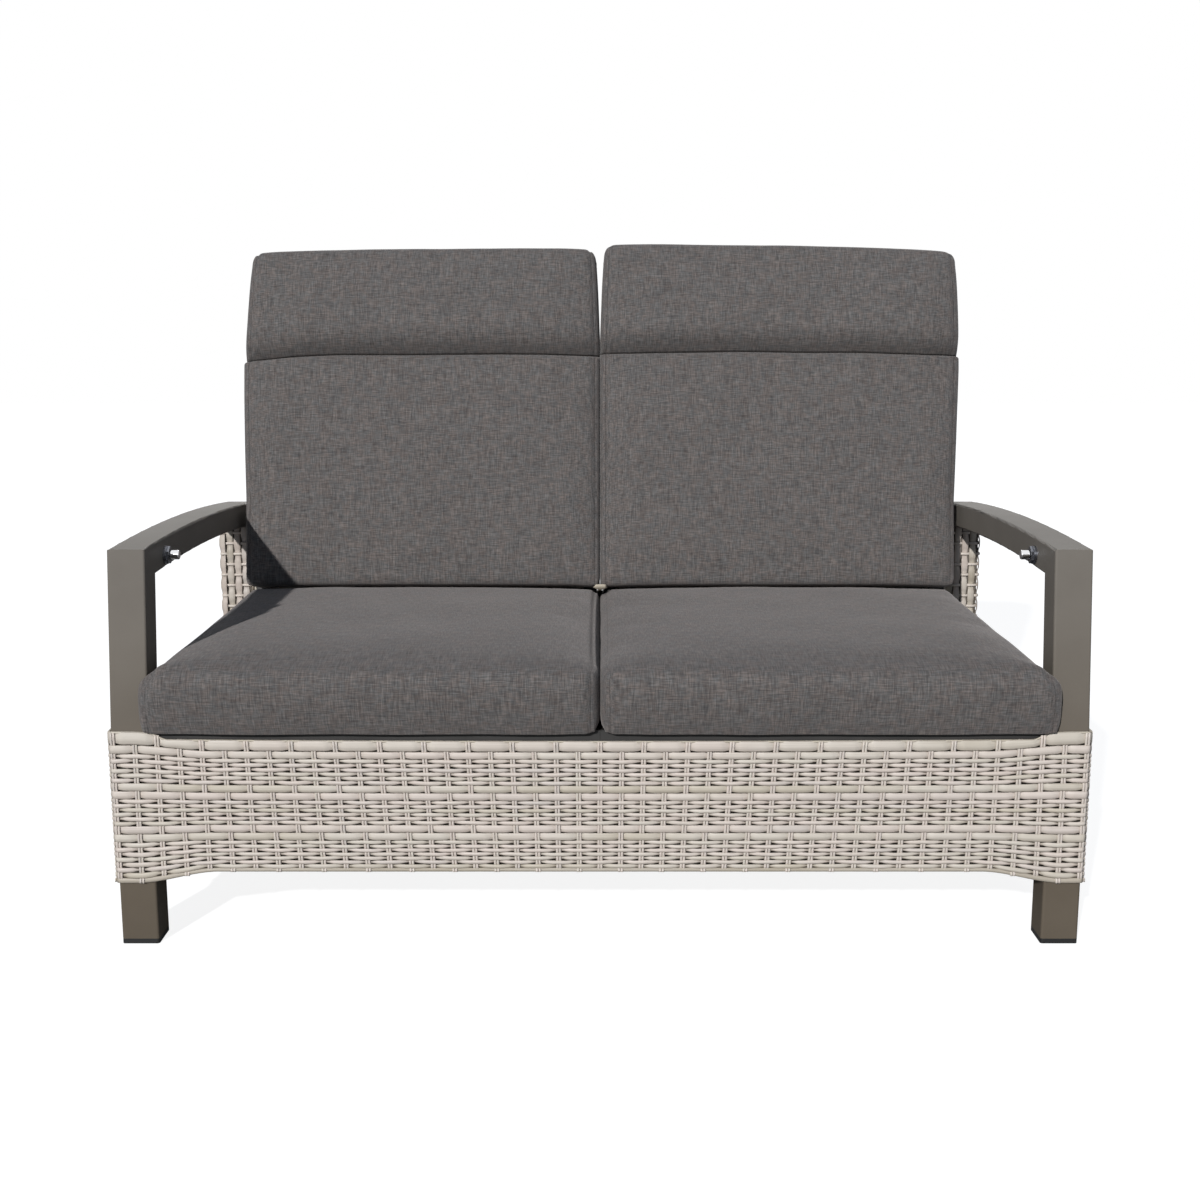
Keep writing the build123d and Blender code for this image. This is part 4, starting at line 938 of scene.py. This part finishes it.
# The seat cushions' side seams get painted shade, at 0.70 of full.
for side, sign, seed in (("left", -1, 41), ("right", 1, 52)):
    form, sunk_in = seat_form(sign, seed)
    cushion(f"seat_cushion_{side}", "base", form, seat_faces, sunk_in, 0.70 * side_seams(seat_cube),
            seat_settle(sign))


# Back cushions: a tall body and a fuller head section, parted by a sewn channel that dips a little
# towards its ends. The right one is stuffed a little higher and wider, and its top falls outward.
seam_height = 0.478
back_half = np.array([0.3420, 0.0520, 0.3310])
back_middle = np.array([0.3405, -0.0153 - 0.0520, 0.3650])
back_round, sharper_back_foot = 0.021, 0.008
# The front swells by thicker_by at the heights thick_at.
thick_at = (0.034, 0.09, 0.20, 0.33, 0.45, 0.478, 0.53, 0.60, 0.66, 0.71)
thicker_by = (0.004, 0.010, 0.015, 0.016, 0.011, 0.009, 0.018, 0.012, 0.000, -0.012)
channel_deep, channel_below, channel_above, groove_deep, groove_half = 0.027, 0.0035, 0.019, 0.007, 0.0013
head_in, body_in, corner_in, corner_down = 0.0010, 0.0030, 0.006, 0.007
side_heights, side_bounds, hoop_gap, foot_gap = (0.34, 0.54), (0.684, 0.698), 0.0154, 0.0335
seam_lines = seam_height - back_middle[2] + np.array([-0.030, -0.020, -0.0125, -0.0075, -0.004, -0.0015, 0,
                                                      0.0015, 0.004, 0.008, 0.0135, 0.020, 0.029, 0.040])
back_cube, back_faces = shell(spaced(back_half[0], 0.030, 0.0110), spaced(back_half[1], 0.028, 0.013),
                              spaced(back_half[2], 0.030, 0.0115, seam_lines))


def back_form(sign, seed, seam, rise, droop, taper, wider):
    """Rounded slab whose thickness follows the height, with the channel cut into its front and sides.

    At d above the seam the channel is channel_deep exp(-(d / channel_above)^1.4) deep, below it
    channel_deep exp(-(d / channel_below)^2), and both deepen by groove_deep exp(-(d / groove_half)^2).
    seam gives the seam's height in the middle and how much it dips at the outer and inner end. rise lifts
    the head, droop lets its top fall outward, taper draws its outer side in, and wider moves the outer
    side out at four heights.
    """
    p, out = rounded(back_cube, back_half, back_round - sharper_back_foot * each_way(back_cube[:, 2])[1] ** 2)
    a, b, c = (p / back_half).T
    height = p[:, 2] + back_middle[2]
    (outer, inner), front, top = each_way(sign * a), each_way(b)[1], each_way(c)[0]
    waver = ripple(p * rightward, seed + 5, 0.2, 0.0010)
    seam_at = seam[0] - seam[1] * outer ** 3 - seam[2] * inner ** 3 + waver
    share = np.where(height < seam_height, (height - 0.20) / (seam_height - 0.20),
                     1 - (height - seam_height) / 0.16)
    head = np.clip((height - seam_height) / 0.20, 0, 1)
    p[:, 2] += (seam_at - seam_height) * np.clip(share, 0, 1) + rise * head
    height = p[:, 2] + back_middle[2]
    thick = np.interp(height, thick_at, thicker_by)
    away = height - seam_at
    channel = channel_deep * np.where(away < 0, np.exp(-(away / channel_below) ** 2),
                                      np.exp(-(np.abs(away) / channel_above) ** 1.4))
    channel += groove_deep * np.exp(-(away / groove_half) ** 2)
    p[:, 1] -= front * (thick * (1 - 0.55 * a ** 4) + ripple(p + sign * 2, seed, 0.17, 0.0018))
    head = np.clip((height - seam_height) / 0.20, 0, 1)
    p[:, 0] -= np.sign(a) * np.abs(a) ** 8 * (head_in * (away > 0) + body_in * c ** 2 * (away < 0))
    p[:, 2] -= top * (droop * (outer ** 1.3 + 0.3 * (1 - a ** 2)) - 0.001 * inner) - 0.003 * head
    p[:, 0] += sign * outer ** 4 * (np.interp(height, (0.20, 0.30, 0.46, 0.54), wider) - taper * head)
    p[:, 0] -= sign * inner ** 4 * np.interp(head, (0, 1), (0.0065, -0.0020))
    corner = (np.abs(a) * top) ** 6
    p[:, 0] -= np.sign(a) * corner_in * corner
    p[:, 2] -= corner_down * corner
    pucker = 1 + 0.5 * np.sin(height * 210 + 3 * np.sin(height * 37))
    pucker = side_seams(back_cube) * (front > 0.3) * pucker
    drawn = turned_back(out * (seam_deep * pucker)[:, None] - (front * channel)[:, None] * backward)
    # Painted shade along the side seams and in the crease of the channel.
    seam_shade = np.maximum(0.74 * side_seams(back_cube), np.exp(-(away / 0.003) ** 2) * (front > 0.3))
    return laid_back(p + back_middle * (sign, 1, 1)), drawn, seam_shade


def back_settle(sign):
    """Keeps a back cushion in front of its hoop and off its neighbour, inside its outer side's bounds."""
    def settle(p):
        """The points turned upright, held inside those bounds and laid back again."""
        y, z = p[:, 1] - hinge[1], p[:, 2] - hinge[2]
        own = np.stack([p[:, 0], y * np.cos(recline) - z * np.sin(recline),
                        y * np.sin(recline) + z * np.cos(recline)], -1)
        beside = np.interp(own[:, 2], side_heights, side_bounds)
        own[:, 0] = sign * np.clip(sign * own[:, 0], neighbour_gap, beside)
        own[:, 1] = np.minimum(own[:, 1], -hoop_gap)
        own[:, 2] = np.maximum(own[:, 2], foot_gap)
        return laid_back(own)
    return settle


for side, sign, seed, seam, rise, droop, taper, wider in (
        ("left", -1, 61, (0.484, 0.0085, 0.0015), 0.0, 0.007, 0.0115, (0.0020, 0.0050, 0.0080, 0.0062)),
        ("right", 1, 72, (0.488, 0.0005, 0.0010), 0.009, 0.013, 0.0050, (0.0025, 0.0065, 0.0140, 0.0150))):
    form, drawn, seam_shade = back_form(sign, seed, seam, rise, droop, taper, wider)
    cushion(f"back_cushion_{side}", f"back_{side}", form, back_faces, drawn, seam_shade, back_settle(sign))
